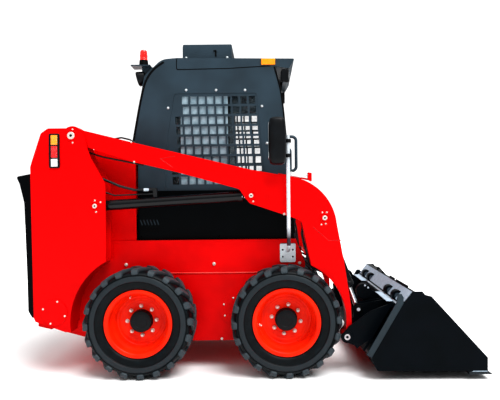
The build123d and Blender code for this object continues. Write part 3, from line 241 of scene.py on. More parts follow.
def makePost():
    # Zinc-plated tube with a dark band of painted shade near its foot, under the arm: the band is the product of two
    # ramps of the height.
    material, tree, bsdf, place = newMaterial("plated post with painted shade", Metallic=0.2, Roughness=0.35)
    height = addNode(tree, "ShaderNodeSeparateXYZ", {"Vector": place}).outputs["Z"]
    under, over = rescaled(tree, height, 1.02, 0.94), rescaled(tree, height, 0.886, 0.892)
    band = addNode(tree, "ShaderNodeMath", {0: under, 1: over}, operation="MULTIPLY").outputs[0]
    plate = colourRamp(tree, scaledNoise(tree, place, 0.006, 2.0), [(0.3, "#C9D4DC"), (0.7, "#E6EDF2")])
    # painted shade: inside the band the plate colour turns dark purple-red
    tree.links.new(mixColour(tree, band, plate, "#2A1424"), bsdf.inputs["Base Color"])
    return material


finishes = {
    # the red body takes painted shade towards the ground
    "body_red": makePaintedSteel("red gloss enamel on steel", "#EA0003", "#D60002", 0.4, gloss=0.07, dustAndPaintedLight=0.3),
    "rim_orange": makePaintedSteel("orange-red enamel on steel", "#F22A06", "#DC1E04", 0.35, gloss=0.12, patch=0.1),
    "cab_black": makePaintedSteel("satin black powder coat on steel", "#2F404B", "#26343D", 0.4, 0.0016, 0.25, 0.3),
    "panel_black": makePaintedSteel("black powder coat on steel", "#030609", "#020406", 0.38, 0.0016, 0.15, 0.07),
    "bucket_black": makePaintedSteel("black enamel on steel plate", "#050B11", "#03080C", 0.42, 0.002, 0.15, 0.07),
    "edge_steel": makeBareSteel("hot-rolled edge steel", "#3A4146", "#16191C", 0.42, 0.08, 0.8),
    "cylinder_black": makePaintedSteel("gloss black cylinder enamel", "#070A0E", "#040608", 0.25, 0.003, 0.1, 0.3,
                                       0.08),
    "rod_chrome": makeBareSteel("hard-chromed rod", "#F2F4F5", "#D9DDE0", 0.15, 0.02),
    "tyre_rubber": makeTyreRubber(),
    "window_glass": makeGlass("tinted safety glass", "#5E6C72", "#8D9CA2", 0.1),
    "black_plastic": makePlastic("moulded ABS", "#0E1216", "#07090C", 0.42, gloss=0.2),
    "lamp_plastic": makeLens("red acrylic lens", "#D40A0A", "#F02018"),
    "beacon_red": makeLens("red polycarbonate dome", "#F00808", "#FF2A20", 0.25),
    "seat_vinyl": makeVinyl(),
    "hose_rubber": makePlastic("braided hose cover", "#14171A", "#0B0D0F", 0.45, 0.002),
    "zinc_steel": makePlated("zinc-plated steel", "#E8EEF0", "#C4CED2", 0.35, 0.4),
    "engine_iron": makeCastIron(),
}
postMaterial = makePost()
for part in frame["record"]["subparts"]:
    mesh = frame["nodes"][part["node"]].data
    mesh.materials.clear()
    mesh.materials.append(postMaterial if "mirror_post" in part["node"] else finishes[part["material_slot"]])

# finishes of small pieces, which share the slot named with each
trims = {
    "amber": ("lamp_plastic", makeLens("amber acrylic lens", "#FF8A00", "#FFA820", 0.2)),
    "red": ("lamp_plastic", makeLens("deep red acrylic lens", "#B80008", "#D8080E", 0.1)),
    "white": ("lamp_plastic", makeLens("clear acrylic lens", "#D9DEE0", "#FFFFFF", 0.1)),
    "brass": ("zinc_steel", makePlated("dulled zinc plating", "#E6DED6", "#C9BFB8", 0.3, 0.38, 0.004)),
    # pale grey standing for the sky's reflection on black paint: painted reflection on the bucket's flange and pads, a
    # painted highlight on the cutter lines
    "pale": ("zinc_steel", makePlated("pale grey painted sky reflection on black steel", "#B9CBDA", "#A2B5C6", 0.0, 0.5, 0.02)),
    # bright grey: the own colour of small fittings, and a painted highlight on the bucket's strips
    "bright": ("zinc_steel", makePlated("ground steel and painted highlight", "#C9D6E0", "#AEBCC8", 0.0, 0.45, 0.01)),
    "mirror": ("rod_chrome", makeBareSteel("silvered mirror glass", "#F4F7F8", "#EDF1F2", 0.09, 0.3)),
    "seam": ("body_red", makePaintedSteel("weld bead under red enamel", "#C80006", "#A80004", 0.4, 0.002, 0.02, 0.3)),
    "rib": ("bucket_black", makePaintedSteel("grey-black enamel on rib", "#24323A", "#1C282F", 0.42, 0.002, 0.15, 0.3)),
    # a nearly opaque pale blue-grey pane: painted light that stands for the bright view through the glass
    "pane": ("window_glass", makeGlass("pale sliding pane of painted light", "#7C95A2", "#A9BFCA", 0.88, 0.25)),
    # lighter red for a painted highlight along the chassis' fold and sill
    "edge": ("body_red", makePaintedSteel("painted highlight on red enamel edge", "#FF5046", "#FF3830", 0.25, 0.002, 0.1, 0.4,
                                          0.4)),
    "ring": ("zinc_steel", makePlated("machined bushing face", "#C9C3C6", "#A89FA3", 0.2, 0.4, 0.004)),
    "dark": ("black_plastic", makePlastic("black rubber moulding", "#040506", "#020303", 0.6, gloss=0.1)),
    "grey": ("bucket_black", makePaintedSteel("worn enamel on casting", "#46525C", "#333D46", 0.45, 0.002, 0.03, 0.2)),
}
print("finishes set:", len(finishes) + len(trims))


# ---- shapes: each is a pair, an array of points and a list of faces

def evenAngles(count):
    # angles evenly spaced round a circle, from zero
    return np.linspace(0, 2 * np.pi, count, endpoint=False)


def gridFaces(rows, columns, wrapRows=False, wrapColumns=False):
    # quads of a grid whose points are numbered row by row
    r = np.arange(rows if wrapRows else rows - 1)[:, None]
    c = np.arange(columns if wrapColumns else columns - 1)[None, :]
    nextR, nextC = (r + 1) % rows, (c + 1) % columns
    corners = np.stack([r * columns + c, r * columns + nextC, nextR * columns + nextC, nextR * columns + c], -1)
    return corners.reshape(-1, 4).tolist()


def power(base, exponent):
    # the size of the base raised to a power, with the base's own sign
    return np.sign(base) * abs(base) ** exponent


def capped(levels, ring):
    # faces of a tube of rings, closed by one face at each end
    count = levels * ring
    return gridFaces(levels, ring, wrapColumns=True) + [list(range(ring)), list(range(count - ring, count))]


def lathe(profile, segments):
    # a profile of (radius, height) rows turned about Z; rows at radius 0 close the ends
    radius, height = np.asarray(profile, float).T
    angle = evenAngles(segments)
    points = np.stack([radius[:, None] * np.cos(angle), radius[:, None] * np.sin(angle),
                       np.broadcast_to(height[:, None], (len(radius), segments))], -1)
    return points.reshape(-1, 3), gridFaces(len(radius), segments, wrapColumns=True)


def lofted(rings, heights):
    # a tube through flat rings of points, one ring at each height
    heights = np.broadcast_to(np.asarray(heights, float)[:, None, None], (*rings.shape[:2], 1))
    return np.concatenate([rings, heights], -1).reshape(-1, 3), capped(*rings.shape[:2])


def extruded(outline, depth, bevel=0.0):
    # a flat outline raised along Z, each edge of both ends cut back by the bevel along the corner's bisector
    flat = np.asarray(outline, float)
    ahead, behind = np.roll(flat, -1, 0) - flat, flat - np.roll(flat, 1, 0)
    turn = np.sign(np.sum(flat[:, 0] * np.roll(flat[:, 1], -1) - flat[:, 1] * np.roll(flat[:, 0], -1)))
    normals = [turn * np.stack([-e[:, 1], e[:, 0]], 1) / np.linalg.norm(e, axis=1, keepdims=True)
               for e in (ahead, behind)]
    bisector = normals[0] + normals[1]
    inward = bisector * 2 / np.maximum(np.sum(bisector ** 2, 1, keepdims=True), 0.5)
    inset = np.array([bevel, 0, 0, bevel])
    return lofted(flat + inset[:, None, None] * inward, [0, bevel, depth - bevel, depth])


def roundedBox(width, height, corner, steps=5):
    # outline of a rectangle about the origin: quarter circles at its corners
    angle = np.linspace(0, np.pi / 2, steps)
    arc = np.stack([np.cos(angle), np.sin(angle)], 1) * corner
    x, y = width / 2 - corner, height / 2 - corner
    quarters = [arc + (x, y), arc[:, ::-1] * (-1, 1) + (-x, y), -arc + (-x, -y), arc[:, ::-1] * (1, -1) + (x, -y)]
    return np.concatenate(quarters)


def swept(path, radius, sides, up=(0, 1, 0)):
    # a round bar along a path: each ring stands square to the line there, turned so that one side faces up
    path = np.asarray(path, float)
    along = np.gradient(path, axis=0)
    along /= np.linalg.norm(along, axis=1, keepdims=True)
    across = np.cross(along, np.asarray(up, float))
    across /= np.linalg.norm(across, axis=1, keepdims=True)
    third = np.cross(across, along)
    angle = evenAngles(sides)
    ring = across[:, None] * np.cos(angle)[None, :, None] + third[:, None] * np.sin(angle)[None, :, None]
    points = path[:, None] + ring * np.broadcast_to(np.asarray(radius, float), len(path))[:, None, None]
    return points.reshape(-1, 3), capped(len(path), sides)


def smoothPath(corners, steps=12):
    # a Catmull-Rom curve through the corners
    knots = np.asarray(corners, float)
    padded = np.concatenate([2 * knots[:1] - knots[1:2], knots, 2 * knots[-1:] - knots[-2:-1]])
    t = np.linspace(0, 1, steps, endpoint=False)[None, :, None]
    a, b, c, d = (padded[i:len(padded) - 3 + i, None] for i in range(4))
    curve = 0.5 * (2 * b + (c - a) * t + (2 * a - 5 * b + 4 * c - d) * t ** 2 + (3 * b - a - 3 * c + d) * t ** 3)
    return np.concatenate([curve.reshape(-1, knots.shape[1]), knots[-1:]])


def weldBead(corners, radius, pitch=0.006):
    # a bead along straight runs, thicker and thinner in ripples one pitch long
    corners = np.asarray(corners, float)
    lengths = np.concatenate([[0], np.cumsum(np.linalg.norm(np.diff(corners, axis=0), axis=1))])
    at = np.linspace(0, lengths[-1], max(8, int(lengths[-1] / pitch * 3)))
    path = np.stack([np.interp(at, lengths, corners[:, i]) for i in range(3)], 1)
    return swept(path, radius * (1 + 0.12 * np.sin(2 * np.pi * at / pitch)), 8)


def stack(shapes):
    # several shapes as one
    starts = np.cumsum([0] + [len(points) for points, faces in shapes])
    faces = [[start + i for i in face] for start, (points, rows) in zip(starts, shapes) for face in rows]
    return np.concatenate([points for points, faces in shapes]), faces


def moved(shape, by):
    # the shape shifted by a vector
    return shape[0] + by, shape[1]


def placed(shape, at, axis=(0, 0, 1), turn=0.0):
    # the shape with its Z along an axis, turned about it and moved
    z = np.asarray(axis, float) / np.linalg.norm(axis)
    helper = np.array([0.0, 0.0, 1.0]) if abs(z[2]) < 0.9 else np.array([1.0, 0.0, 0.0])
    x = np.cross(helper, z)
    x /= np.linalg.norm(x)
    y = np.cross(z, x)
    c, s = np.cos(turn), np.sin(turn)
    basis = np.stack([c * x + s * y, c * y - s * x, z])
    return shape[0] @ basis + np.asarray(at, float), shape[1]


def framed(shape, at, xAxis, yAxis):
    # the shape with its X and Y along two given directions and its Z square to both
    x, y = (np.asarray(axis, float) / np.linalg.norm(axis) for axis in (xAxis, yAxis))
    return shape[0] @ np.stack([x, y, np.cross(x, y)]) + np.asarray(at, float), shape[1]


def onSide(shape, x, y, z, side):
    # the shape standing outwards on a side face, with its X forward and its Y up
    return shape[0] @ np.array([(1, 0, 0), (0, 0, 1), (0, side, 0)]) + (x, side * y, z), shape[1]


def boltHead(width, height, washer=1.35):
    # hexagon with a chamfered top on a round washer
    r = width / np.sqrt(3)
    head = lathe([(0, 0.3 * height), (r, 0.3 * height), (r, 0.85 * height), (0.84 * r, height), (0, height)], 6)
    ring = lathe([(0, 0), (washer * r, 0), (washer * r, 0.25 * height), (washer * r * 0.93, 0.3 * height),
                  (0, 0.3 * height)], 16)
    return stack([ring, head])


def domeHead(width, height, crown=1.1):
    # round button head with a socket: its profile is an arc that ends at the crown's angle
    r = width / 2
    dome = [(r * np.cos(a), height * np.sin(a) / np.sin(crown)) for a in np.linspace(0, crown, 6)]
    return lathe([(0, 0), (r, 0)] + dome[1:] + [(0.28 * r, height), (0.24 * r, 0.55 * height), (0, 0.55 * height)], 16)


merge, sink = 2e-6, 0.0002   # points this near become one; fittings are let in by this much
sides = (("right", -1), ("left", 1))


def addPiece(name, shape, look, body="machine", replaces=(), smooth=30.0, paintedHighlight=None):
    # a closed mesh that rides on a body; faces that meet under the angle are shaded smooth
    slot, material = trims.get(look, (look, finishes.get(look)))
    mesh = bpy.data.meshes.new(name)
    mesh.from_pydata(shape[0].tolist(), [], shape[1])
    # a painted highlight amount per point, when given, is stored for the material to read
    if paintedHighlight is not None:
        mesh.attributes.new("paintedHighlight", "FLOAT", "POINT").data.foreach_set("value", paintedHighlight.astype(np.float32))
    work = bmesh.new()
    work.from_mesh(mesh)
    bmesh.ops.remove_doubles(work, verts=work.verts, dist=merge)
    bmesh.ops.recalc_face_normals(work, faces=work.faces)
    work.to_mesh(mesh)
    work.free()
    mesh.materials.append(material)
    mesh.polygons.foreach_set("use_smooth", np.full(len(mesh.polygons), smooth > 0))
    mesh.set_sharp_from_angle(angle=np.radians(smooth))
    piece = addObject(name, mesh)
    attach(piece, body)
    if replaces:
        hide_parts(*replaces)
    return piece


def addPair(name, shape, look, at=(0, 0, 0), body="machine", replaces=()):
    # the shape on both sides, standing outwards at x, outwards and z; the right one replaces the nodes
    for hand, side in sides:
        addPiece(f"{name}_{hand}", onSide(shape, *at, side), look, body, replaces if side < 0 else ())


def addTwins(name, shape, look, at, body="machine", smooth=30.0):
    # the shape, turned alike, at x, y, z and at x, -y, z
    for hand, side in sides:
        addPiece(f"{name}_{hand}", moved(shape, np.array(at) * (1, side, 1)), look, body, smooth=smooth)


# ---- camera, floor and light

stage = {"eye": (0.137, -4.5, 1.181), "lens": 40.0, "film": 36.0, "shift": (-0.03, 0.006), "roll": 0.0105,
         "floorSize": 60.0, "floor": "#FFFFFF", "skyLow": 0.12, "skyHigh": 1.1, "sun": 2.7, "sunSoft": 35.0,
         "sunFrom": (0.8, -1.05, 2.0)}


def addCamera():
    # level at the eye, looking square at the right side and turned a little about its own axis
    data = bpy.data.cameras.new("camera")
    data.lens, data.sensor_width = stage["lens"], stage["film"]
    data.shift_x, data.shift_y = stage["shift"]
    scene.camera = addObject("camera", data)
    scene.camera.location = stage["eye"]
    scene.camera.rotation_euler = (np.pi / 2, stage["roll"], 0)


def addFloor():
    # one pale square, level with the ground
    half = stage["floorSize"] / 2
    material, tree, bsdf, place = newMaterial("matt white studio floor", Roughness=0.95, Specular_IOR_Level=0.1)
    setTwoTone(tree, bsdf, scaledNoise(tree, place, 1.5, 2.0), "#FDFDFD", stage["floor"], 0.0, 1.0)
    mesh = bpy.data.meshes.new("floor")
    mesh.from_pydata([(-half, -half, 0), (half, -half, 0), (half, half, 0), (-half, half, 0)], [], [(0, 1, 2, 3)])
    mesh.materials.append(material)
    addObject("floor", mesh)


def addLight():
    # a dome whose strength rises with height, a white backdrop that only the camera sees, and one soft sun
    # over the camera's right shoulder
    world = bpy.data.worlds.new("studio")
    scene.world = world
    world.use_nodes = True
    tree = world.node_tree
    towards = addNode(tree, "ShaderNodeTexCoord").outputs["Generated"]
    height = addNode(tree, "ShaderNodeSeparateXYZ", {"Vector": towards}).outputs["Z"]
    glow = rescaled(tree, height, 0.05, 0.9, stage["skyLow"], stage["skyHigh"])
    dome = tree.nodes["Background"]
    dome.inputs["Color"].default_value = fromHex("#FFFFFF")
    tree.links.new(glow, dome.inputs["Strength"])
    backdrop = addNode(tree, "ShaderNodeBackground", Color=fromHex("#FFFFFF"), Strength=1.0)
    seen = addNode(tree, "ShaderNodeLightPath").outputs["Is Camera Ray"]
    mix = addNode(tree, "ShaderNodeMixShader", {0: seen, 1: dome.outputs[0], 2: backdrop.outputs[0]})
    tree.links.new(mix.outputs[0], tree.nodes["World Output"].inputs["Surface"])
    data = bpy.data.lights.new("sun", "SUN")
    data.energy, data.angle = stage["sun"], np.radians(stage["sunSoft"])
    x, y, z = stage["sunFrom"]
    addObject("sun", data).rotation_euler = (np.arctan2(np.hypot(x, y), z), 0, np.arctan2(y, x) + np.pi / 2)


addCamera()
addFloor()
addLight()
scene.view_settings.view_transform = "Standard"
scene.view_settings.look = "Medium High Contrast"
print("stage set")


# ---- tyres: a turned casing with staggered slanted lugs that wrap over the shoulder

tyre = {
    "segments": 168, "lugs": 20, "slant": 0.62, "leanFrom": 0.085, "leanTo": 0.112, "treadRadius": 0.37,
    "topHalf": 0.0245, "footHalf": 0.0305,
    # the sidewall's band, lighter as a painted highlight, is within a half width of a radius; 0 means no painted
    # highlight
    "band": 0.306, "bandHalf": 0.017, "bandHighlight": 0.12, "lugHighlight": 0.26,
    "bore": [(0.2065, -0.0985), (0.2065, 0.0985)],
    # radius and distance from the middle plane, from the bead over the rib of the sidewall to the crown
    "casing": [(0.2335, 0.0985), (0.2375, 0.1075), (0.245, 0.1125), (0.258, 0.116), (0.272, 0.1188), (0.2838, 0.1208),
               (0.2875, 0.1262), (0.291, 0.13), (0.3, 0.1294), (0.316, 0.1262), (0.3225, 0.1238), (0.3262, 0.1198),
               (0.3295, 0.1196), (0.333, 0.1235), (0.339, 0.12), (0.346, 0.111), (0.3525, 0.096), (0.355, 0.07),
               (0.3555, 0.0)],
    # rows along a lug: outer radius and side, then the foot's radius and side
    "lug": [(0.3735, 0.001, 0.35, 0.001), (0.3755, 0.01, 0.35, 0.01), (0.376, 0.045, 0.35, 0.045),
            (0.3757, 0.086, 0.347, 0.08), (0.3735, 0.105, 0.343, 0.092), (0.3665, 0.1185, 0.34, 0.1),
            (0.354, 0.1285, 0.337, 0.108), (0.341, 0.1308, 0.334, 0.114), (0.334, 0.127, 0.331, 0.118)],
}


def tyreShape():
    # built about Z: the tread's two halves stand half a pitch apart, and a lug leans round as it nears the middle
    half = np.array(tyre["casing"])
    section = np.concatenate([half, (half * (1, -1))[-2::-1], tyre["bore"]])
    litBand = abs(section[:, 0] - tyre["band"]) < tyre["bandHalf"]
    # the band and the lug tops carry a painted highlight, stored per point
    paintedHighlight = [np.repeat(np.where(litBand, tyre["bandHighlight"], 0.0), tyre["segments"])]
    faces = gridFaces(len(section), tyre["segments"], wrapRows=True, wrapColumns=True)
    shapes = [(lathe(section, tyre["segments"])[0], faces)]

    outR, outY, footR, footY = np.array(tyre["lug"]).T
    narrow = np.array([0.86, 0.93, 1.0, 1.0, 1.03, 1.06, 1.04, 0.92, 0.72])   # width of each row of a lug
    spread = np.array([-1.0, -0.93, -0.80, 0.80, 0.93, 1.0])   # across a lug: foot, side, chamfer, crown and down
    rise = np.array([0.0, 0.86, 1.0, 1.0, 0.86, 0.0])
    halfWidth = np.where(rise > 0.5, tyre["topHalf"], tyre["footHalf"])
    faces = capped(len(outR), len(spread))
    for hand in (1, -1):
        centre = evenAngles(tyre["lugs"]) + (0 if hand > 0 else np.pi / tyre["lugs"])
        r = footR[:, None] + (outR - footR)[:, None] * rise
        y = hand * (footY[:, None] + (outY - footY)[:, None] * rise)
        lean = tyre["slant"] * (np.minimum(outY, tyre["leanTo"]) - tyre["leanFrom"]) / tyre["treadRadius"]
        turn = centre[:, None, None] + lean[:, None] + spread * halfWidth * narrow[:, None] / tyre["treadRadius"]
        lug = np.stack([r * np.cos(turn), r * np.sin(turn), np.broadcast_to(y, turn.shape)], -1)
        shapes += [(points.reshape(-1, 3), faces) for points in lug]
        paintedHighlight += [np.broadcast_to(rise * tyre["lugHighlight"], (len(outR), len(rise))).ravel()] * tyre["lugs"]
    return stack(shapes), np.concatenate(paintedHighlight)


treadShape, treadHighlight = tyreShape()
wheels = [(end, hand, side, f"wheel_{end}_{hand}") for end in ("front", "rear") for hand, side in sides]
wheelCentre = {body: np.mean(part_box(f"tyre_{end}_{hand}"), axis=0) for end, hand, side, body in wheels}
for end, hand, side, body in wheels:
    addPiece(f"tyre_{end}_{hand}_lugged", placed(treadShape, wheelCentre[body], (0, -1, 0)), "tyre_rubber", body,
             [f"tyre_{end}_{hand}"], 38.0, treadHighlight)
print("tyres made")


# ---- rims: pressed disc in a drop-centre barrel with rolled flanges

rim = {
    "segments": 128,
    # radius and distance outwards from the wheel's middle plane, right round the section
    "section": [(0.0, -0.062), (0.093, -0.062), (0.095, -0.06), (0.095, -0.037), (0.137, -0.037), (0.16, -0.041),
                (0.174, -0.047), (0.198, -0.079), (0.198, -0.105), (0.2, -0.107), (0.229, -0.107), (0.231, -0.105),
                (0.231, -0.102), (0.229, -0.1), (0.207, -0.1), (0.205, -0.098), (0.205, -0.071), (0.182, -0.039),
                (0.182, 0.024), (0.205, 0.056), (0.205, 0.098), (0.207, 0.1), (0.229, 0.1), (0.231, 0.1015),
                (0.2311, 0.104), (0.23, 0.106), (0.227, 0.1069), (0.22, 0.107), (0.213, 0.1063), (0.207, 0.104),
                (0.2025, 0.1), (0.1995, 0.095), (0.1982, 0.089), (0.1978, 0.08), (0.1975, 0.062), (0.1962, 0.0555),
                (0.1932, 0.0495), (0.1885, 0.042), (0.1825, 0.032), (0.1785, 0.0255), (0.1762, 0.02), (0.1752, 0.013),
                (0.175, -0.006), (0.1742, -0.013), (0.1715, -0.0185), (0.167, -0.0215), (0.16, -0.0222),
                (0.152, -0.02), (0.145, -0.0195), (0.14, -0.0215), (0.137, -0.0242), (0.133, -0.025),
                (0.079, -0.025), (0.077, -0.0235), (0.075, -0.0235), (0.0, -0.0235)],
}
rimShape = lathe(rim["section"], rim["segments"])
for end, hand, side, body in wheels:
    addPiece(f"rim_{end}_{hand}_pressed", placed(rimShape, wheelCentre[body], (0, side, 0)), "rim_orange", body,
             [f"rim_{end}_{hand}"], 40.0)


# ---- wheel fittings: cap over the hub, eight nuts on their studs and a valve

hub = {"capRadius": 0.0748, "disc": -0.025, "nuts": 8, "nutCircle": 0.1015, "nutWidth": 0.0215, "nutHeight": 0.017,
       "nutTwist": 0.4, "nutLift": 0.0005, "valveFoot": 0.036, "valveLean": 0.35,
       "phase": {"front": -0.16, "rear": 0.035}, "valveCircle": {"front": 0.186, "rear": 0.194},
       "valveTurn": {"front": 3.28, "rear": 1.90}}
r = hub["capRadius"]
capShape = lathe([(0, 0.001), (r + 0.003, 0.001), (r + 0.003, 0.005), (r, 0.008), (r, 0.04), (r - 0.004, 0.0465),
                  (r - 0.012, 0.049), (r - 0.03, 0.0492), (r - 0.032, 0.048), (0, 0.048)], 56)
studShape = lathe([(0, 0.014), (0.008, 0.014), (0.008, 0.024), (0.0065, 0.0258), (0, 0.0258)], 12)
nutShape = stack([boltHead(hub["nutWidth"], hub["nutHeight"], 1.15), studShape])
valveShape = lathe([(0, -0.012), (0.0085, -0.012), (0.0085, 0.004), (0.005, 0.007), (0.0042, 0.026), (0.0055, 0.027),
                    (0.0055, 0.037), (0.004, 0.039), (0, 0.039)], 12)
for end, hand, side, body in wheels:
    discAt = wheelCentre[body] + (0, side * hub["disc"], 0)
    addPiece(f"hub_cap_{end}_{hand}", placed(capShape, discAt, (0, side, 0)), "black_plastic", body)
    turns = np.arange(hub["nuts"]) * 2 * np.pi / hub["nuts"] + hub["phase"][end]
    circle = hub["nutCircle"]
    nuts = [placed(nutShape, discAt + (circle * np.cos(t), side * hub["nutLift"], circle * np.sin(t)),
                   (0, side, 0), hub["nutTwist"] * i) for i, t in enumerate(turns)]
    addPiece(f"wheel_nuts_{end}_{hand}", stack(nuts), "brass", body)
    t, circle = hub["valveTurn"][end], hub["valveCircle"][end]
    foot = wheelCentre[body] + (circle * np.cos(t), side * hub["valveFoot"], circle * np.sin(t))
    lean = (-hub["valveLean"] * np.cos(t), side, -hub["valveLean"] * np.sin(t))
    addPiece(f"valve_{end}_{hand}", placed(valveShape, foot, lean), "brass", body)
print("wheels dressed")


# ---- pins on the sides: round pin ends with a ring round them and small keeper bolts

pins = {
    # at x, outwards, z; face of the plate; radius of pin end and ring; keepers at x, z from the centre; body
    "tower_arm": ((-1.18, 0.718, 1.654), 0.712, 0.025, 0.04, [(0.01, 0.042), (0.01, -0.048)], "machine"),
    "tower_lift": ((-1.023, 0.718, 1.172), 0.712, 0.0155, 0.03,
                   [(0, 0.038), (0.038, 0.026), (0.008, -0.04)], "machine"),
    "arm_lift": ((0.042, 0.6962, 1.233), 0.69, 0.0145, 0.036, [(0.014, -0.04)], "lift_arms"),
    "arm_tilt": ((0.546, 0.6962, 1.075), 0.69, 0.0165, 0.034,
                 [(-0.016, 0.037), (0.014, 0.037), (-0.024, -0.046), (0.006, -0.04)], "lift_arms"),
}
keeper = domeHead(0.013, 0.005)
for name, ((x, out, z), plate, r, ringR, keepers, body) in pins.items():
    end = lathe([(0, 0), (r, 0), (r, 0.003), (r - 0.002, 0.0045), (0.35 * r, 0.0045), (0.3 * r, 0.0025),
                 (0, 0.0025)], 32)
    core = lathe([(0, 0), (0.36 * r, 0), (0.36 * r, 0.0049), (0.2 * r, 0.0052), (0, 0.0052)], 20)
    ring = lathe([(ringR - 0.007, 0), (ringR, 0), (ringR, 0.003), (ringR - 0.002, 0.0055), (ringR - 0.005, 0.0055),
                  (ringR - 0.007, 0.003), (ringR - 0.007, 0)], 40)
    addPair(f"{name}_pin", end, "brass", (x, out - sink, z), body)
    addPair(f"{name}_core", core, "dark", (x, out - sink, z), body)
    addPair(f"{name}_ring", ring, "body_red", (x, plate - sink, z), body)
    heads = [moved(keeper, (dx, dz, 0)) for dx, dz in keepers]
    addPair(f"{name}_keepers", stack(heads), "brass", (x, plate - sink, z), body)
print("pins set")


# ---- bolts and plugs on the chassis, towers, arms and cab

def ringOf(count, radius, first, x, z):
    # points evenly spaced round x, z from a first angle in degrees
    turns = np.radians(first + 360 / count * np.arange(count))
    return np.stack([x + radius * np.cos(turns), z + radius * np.sin(turns)], 1)


fasteners = {
    # look, body, then groups of x and z points, how far outwards they are, and the width across a head
    "chassis": ("brass", "machine", [(ringOf(6, 0.081, 94, -0.092, 0.424), 0.525, 0.014),
                                     ([(-0.86, 0.75), (-0.232, 0.75), (0.38, 0.75)], 0.526, 0.026),
                                     ([(-0.182, 0.213)], 0.52, 0.02)]),
    "access": ("brass", "machine", [(ringOf(4, 0.078, 72, -1.308, 0.449), 0.718, 0.014)]),
    "arm_clips": ("brass", "lift_arms", [([(-0.758, 1.472), (-0.777, 1.609)], 0.69, 0.015),
                                         ([(0.268, 1.104)], 0.69, 0.018)]),
    "cab": ("zinc_steel", "machine", [([(-0.429, 2.009), (-0.211, 2.007), (0, 2.005), (-0.561, 1.88), (0.122, 1.887),
                                        (0.156, 1.617)], 0.455, 0.019)]),
    "roof": ("zinc_steel", "machine", [([(-0.436, 2.262), (-0.132, 2.262)], 0.38, 0.02)]),
    "panel": ("panel_black", "machine", [([(-0.765, 0.945), (-0.765, 1.24), (-0.2, 0.945), (0.315, 0.945), (0.29, 1.24),
                                           (-0.25, 1.24)], 0.461, 0.014)]),
    "bracket": ("black_plastic", "machine", [([(x, z) for x in (0.26, 0.332) for z in (0.796, 0.8456)], 0.534, 0.013)]),
}
for name, (look, body, groups) in fasteners.items():
    heads = [moved(domeHead(width, 0.4 * width), (x, z, out - sink))
             for points, out, width in groups for x, z in points]
    addPair(f"{name}_bolts_{look}", stack(heads), look, body=body)
print("bolts set")


# ---- welds: splice lines of the arms and of their front legs

welds = {"arm_splice": [(-0.494, 1.432), (-0.579, 1.492), (-0.476, 1.509)],
         "leg_splice": [(0.464, 1.013), (0.573, 0.918), (0.668, 0.921)]}
weldLine, weldRadius = 0.6906, 0.0022
for name, corners in welds.items():
    for hand, side in sides:
        bead = weldBead([(x, side * weldLine, z) for x, z in corners], weldRadius)
        addPiece(f"{name}_weld_{hand}", bead, "seam", "lift_arms", smooth=60.0)
print("welds laid")


# ---- tail lamps: a black frame with an amber, a red and a clear lens, each crowned and ribbed

lamp = {"low": 1.434, "high": 1.667, "centre": -1.2935, "face": 0.7122, "lensFace": 0.7188, "width": 0.072,
        "margin": 0.0115, "crown": 0.0075, "rib": 0.0008, "ribPitch": 0.008, "edge": 0.0012, "grid": (25, 33),
        "lenses": (("amber", 1.589, 1.66), ("red", 1.5, 1.587), ("white", 1.441, 1.498))}


def lensShape(height):
    # a crown that falls away to the edges as the sixth power, and cosine ribs that fade at their ends as the eighth
    rows, columns = lamp["grid"]
    u, v = np.meshgrid(np.linspace(-1, 1, rows), np.linspace(-1, 1, columns), indexing="ij")
    z = height / 2 * v
    top = (lamp["crown"] * (1 - np.maximum(abs(u), abs(v)) ** 6)
           + lamp["rib"] * np.cos(2 * np.pi * z / lamp["ribPitch"]) * (1 - v ** 8))
    x = (lamp["width"] / 2 - lamp["margin"]) * u
    upper = np.stack([x, z, np.maximum(top, 0.0) + lamp["edge"]], -1).reshape(-1, 3)
    lower = np.stack([x, z, np.zeros_like(x)], -1).reshape(-1, 3)
    index = np.arange(rows * columns).reshape(rows, columns)
    rim = np.concatenate([index[:, 0], index[-1, 1:], index[-2::-1, -1], index[0, -2:0:-1]])
    after = np.roll(rim, -1)
    walls = np.stack([rim, after, after + len(upper), rim + len(upper)], 1).tolist()
    faces = gridFaces(rows, columns)
    return np.concatenate([upper, lower]), faces + [[i + len(upper) for i in f] for f in faces] + walls


frameShape = extruded(roundedBox(lamp["width"], lamp["high"] - lamp["low"], 0.008), 0.011, 0.002)
addPair("tail_lamp_frame", frameShape, "black_plastic",
        (lamp["centre"], lamp["face"], (lamp["low"] + lamp["high"]) / 2), replaces=["tail_lamps"])
for look, low, high in lamp["lenses"]:
    addPair(f"tail_lens_{look}", lensShape(high - low), look, (lamp["centre"], lamp["lensFace"], (low + high) / 2))
print("tail lamps made")


# ---- beacon on its plate, ribbed amber side markers, the catch of the roof unit, and work lamps

beacon = {"at": (-0.748, -0.395, 2.198),
          "base": [(0, 0), (0.034, 0), (0.034, 0.006), (0.0335, 0.01), (0.031, 0.04), (0.0295, 0.045), (0, 0.045)],
          "dome": [(0, 0.044), (0.0285, 0.044), (0.0285, 0.048), (0.0275, 0.05), (0.0268, 0.076), (0.0285, 0.077),
                   (0.0285, 0.08), (0.0262, 0.081), (0.0255, 0.104), (0.0235, 0.113), (0.018, 0.1195), (0.01, 0.1222),
                   (0, 0.123)]}
addPiece("beacon_base", placed(lathe(beacon["base"], 40), beacon["at"]), "dark")
addPiece("beacon_dome", placed(lathe(beacon["dome"], 48), beacon["at"]), "beacon_red", "machine", ["beacon"])

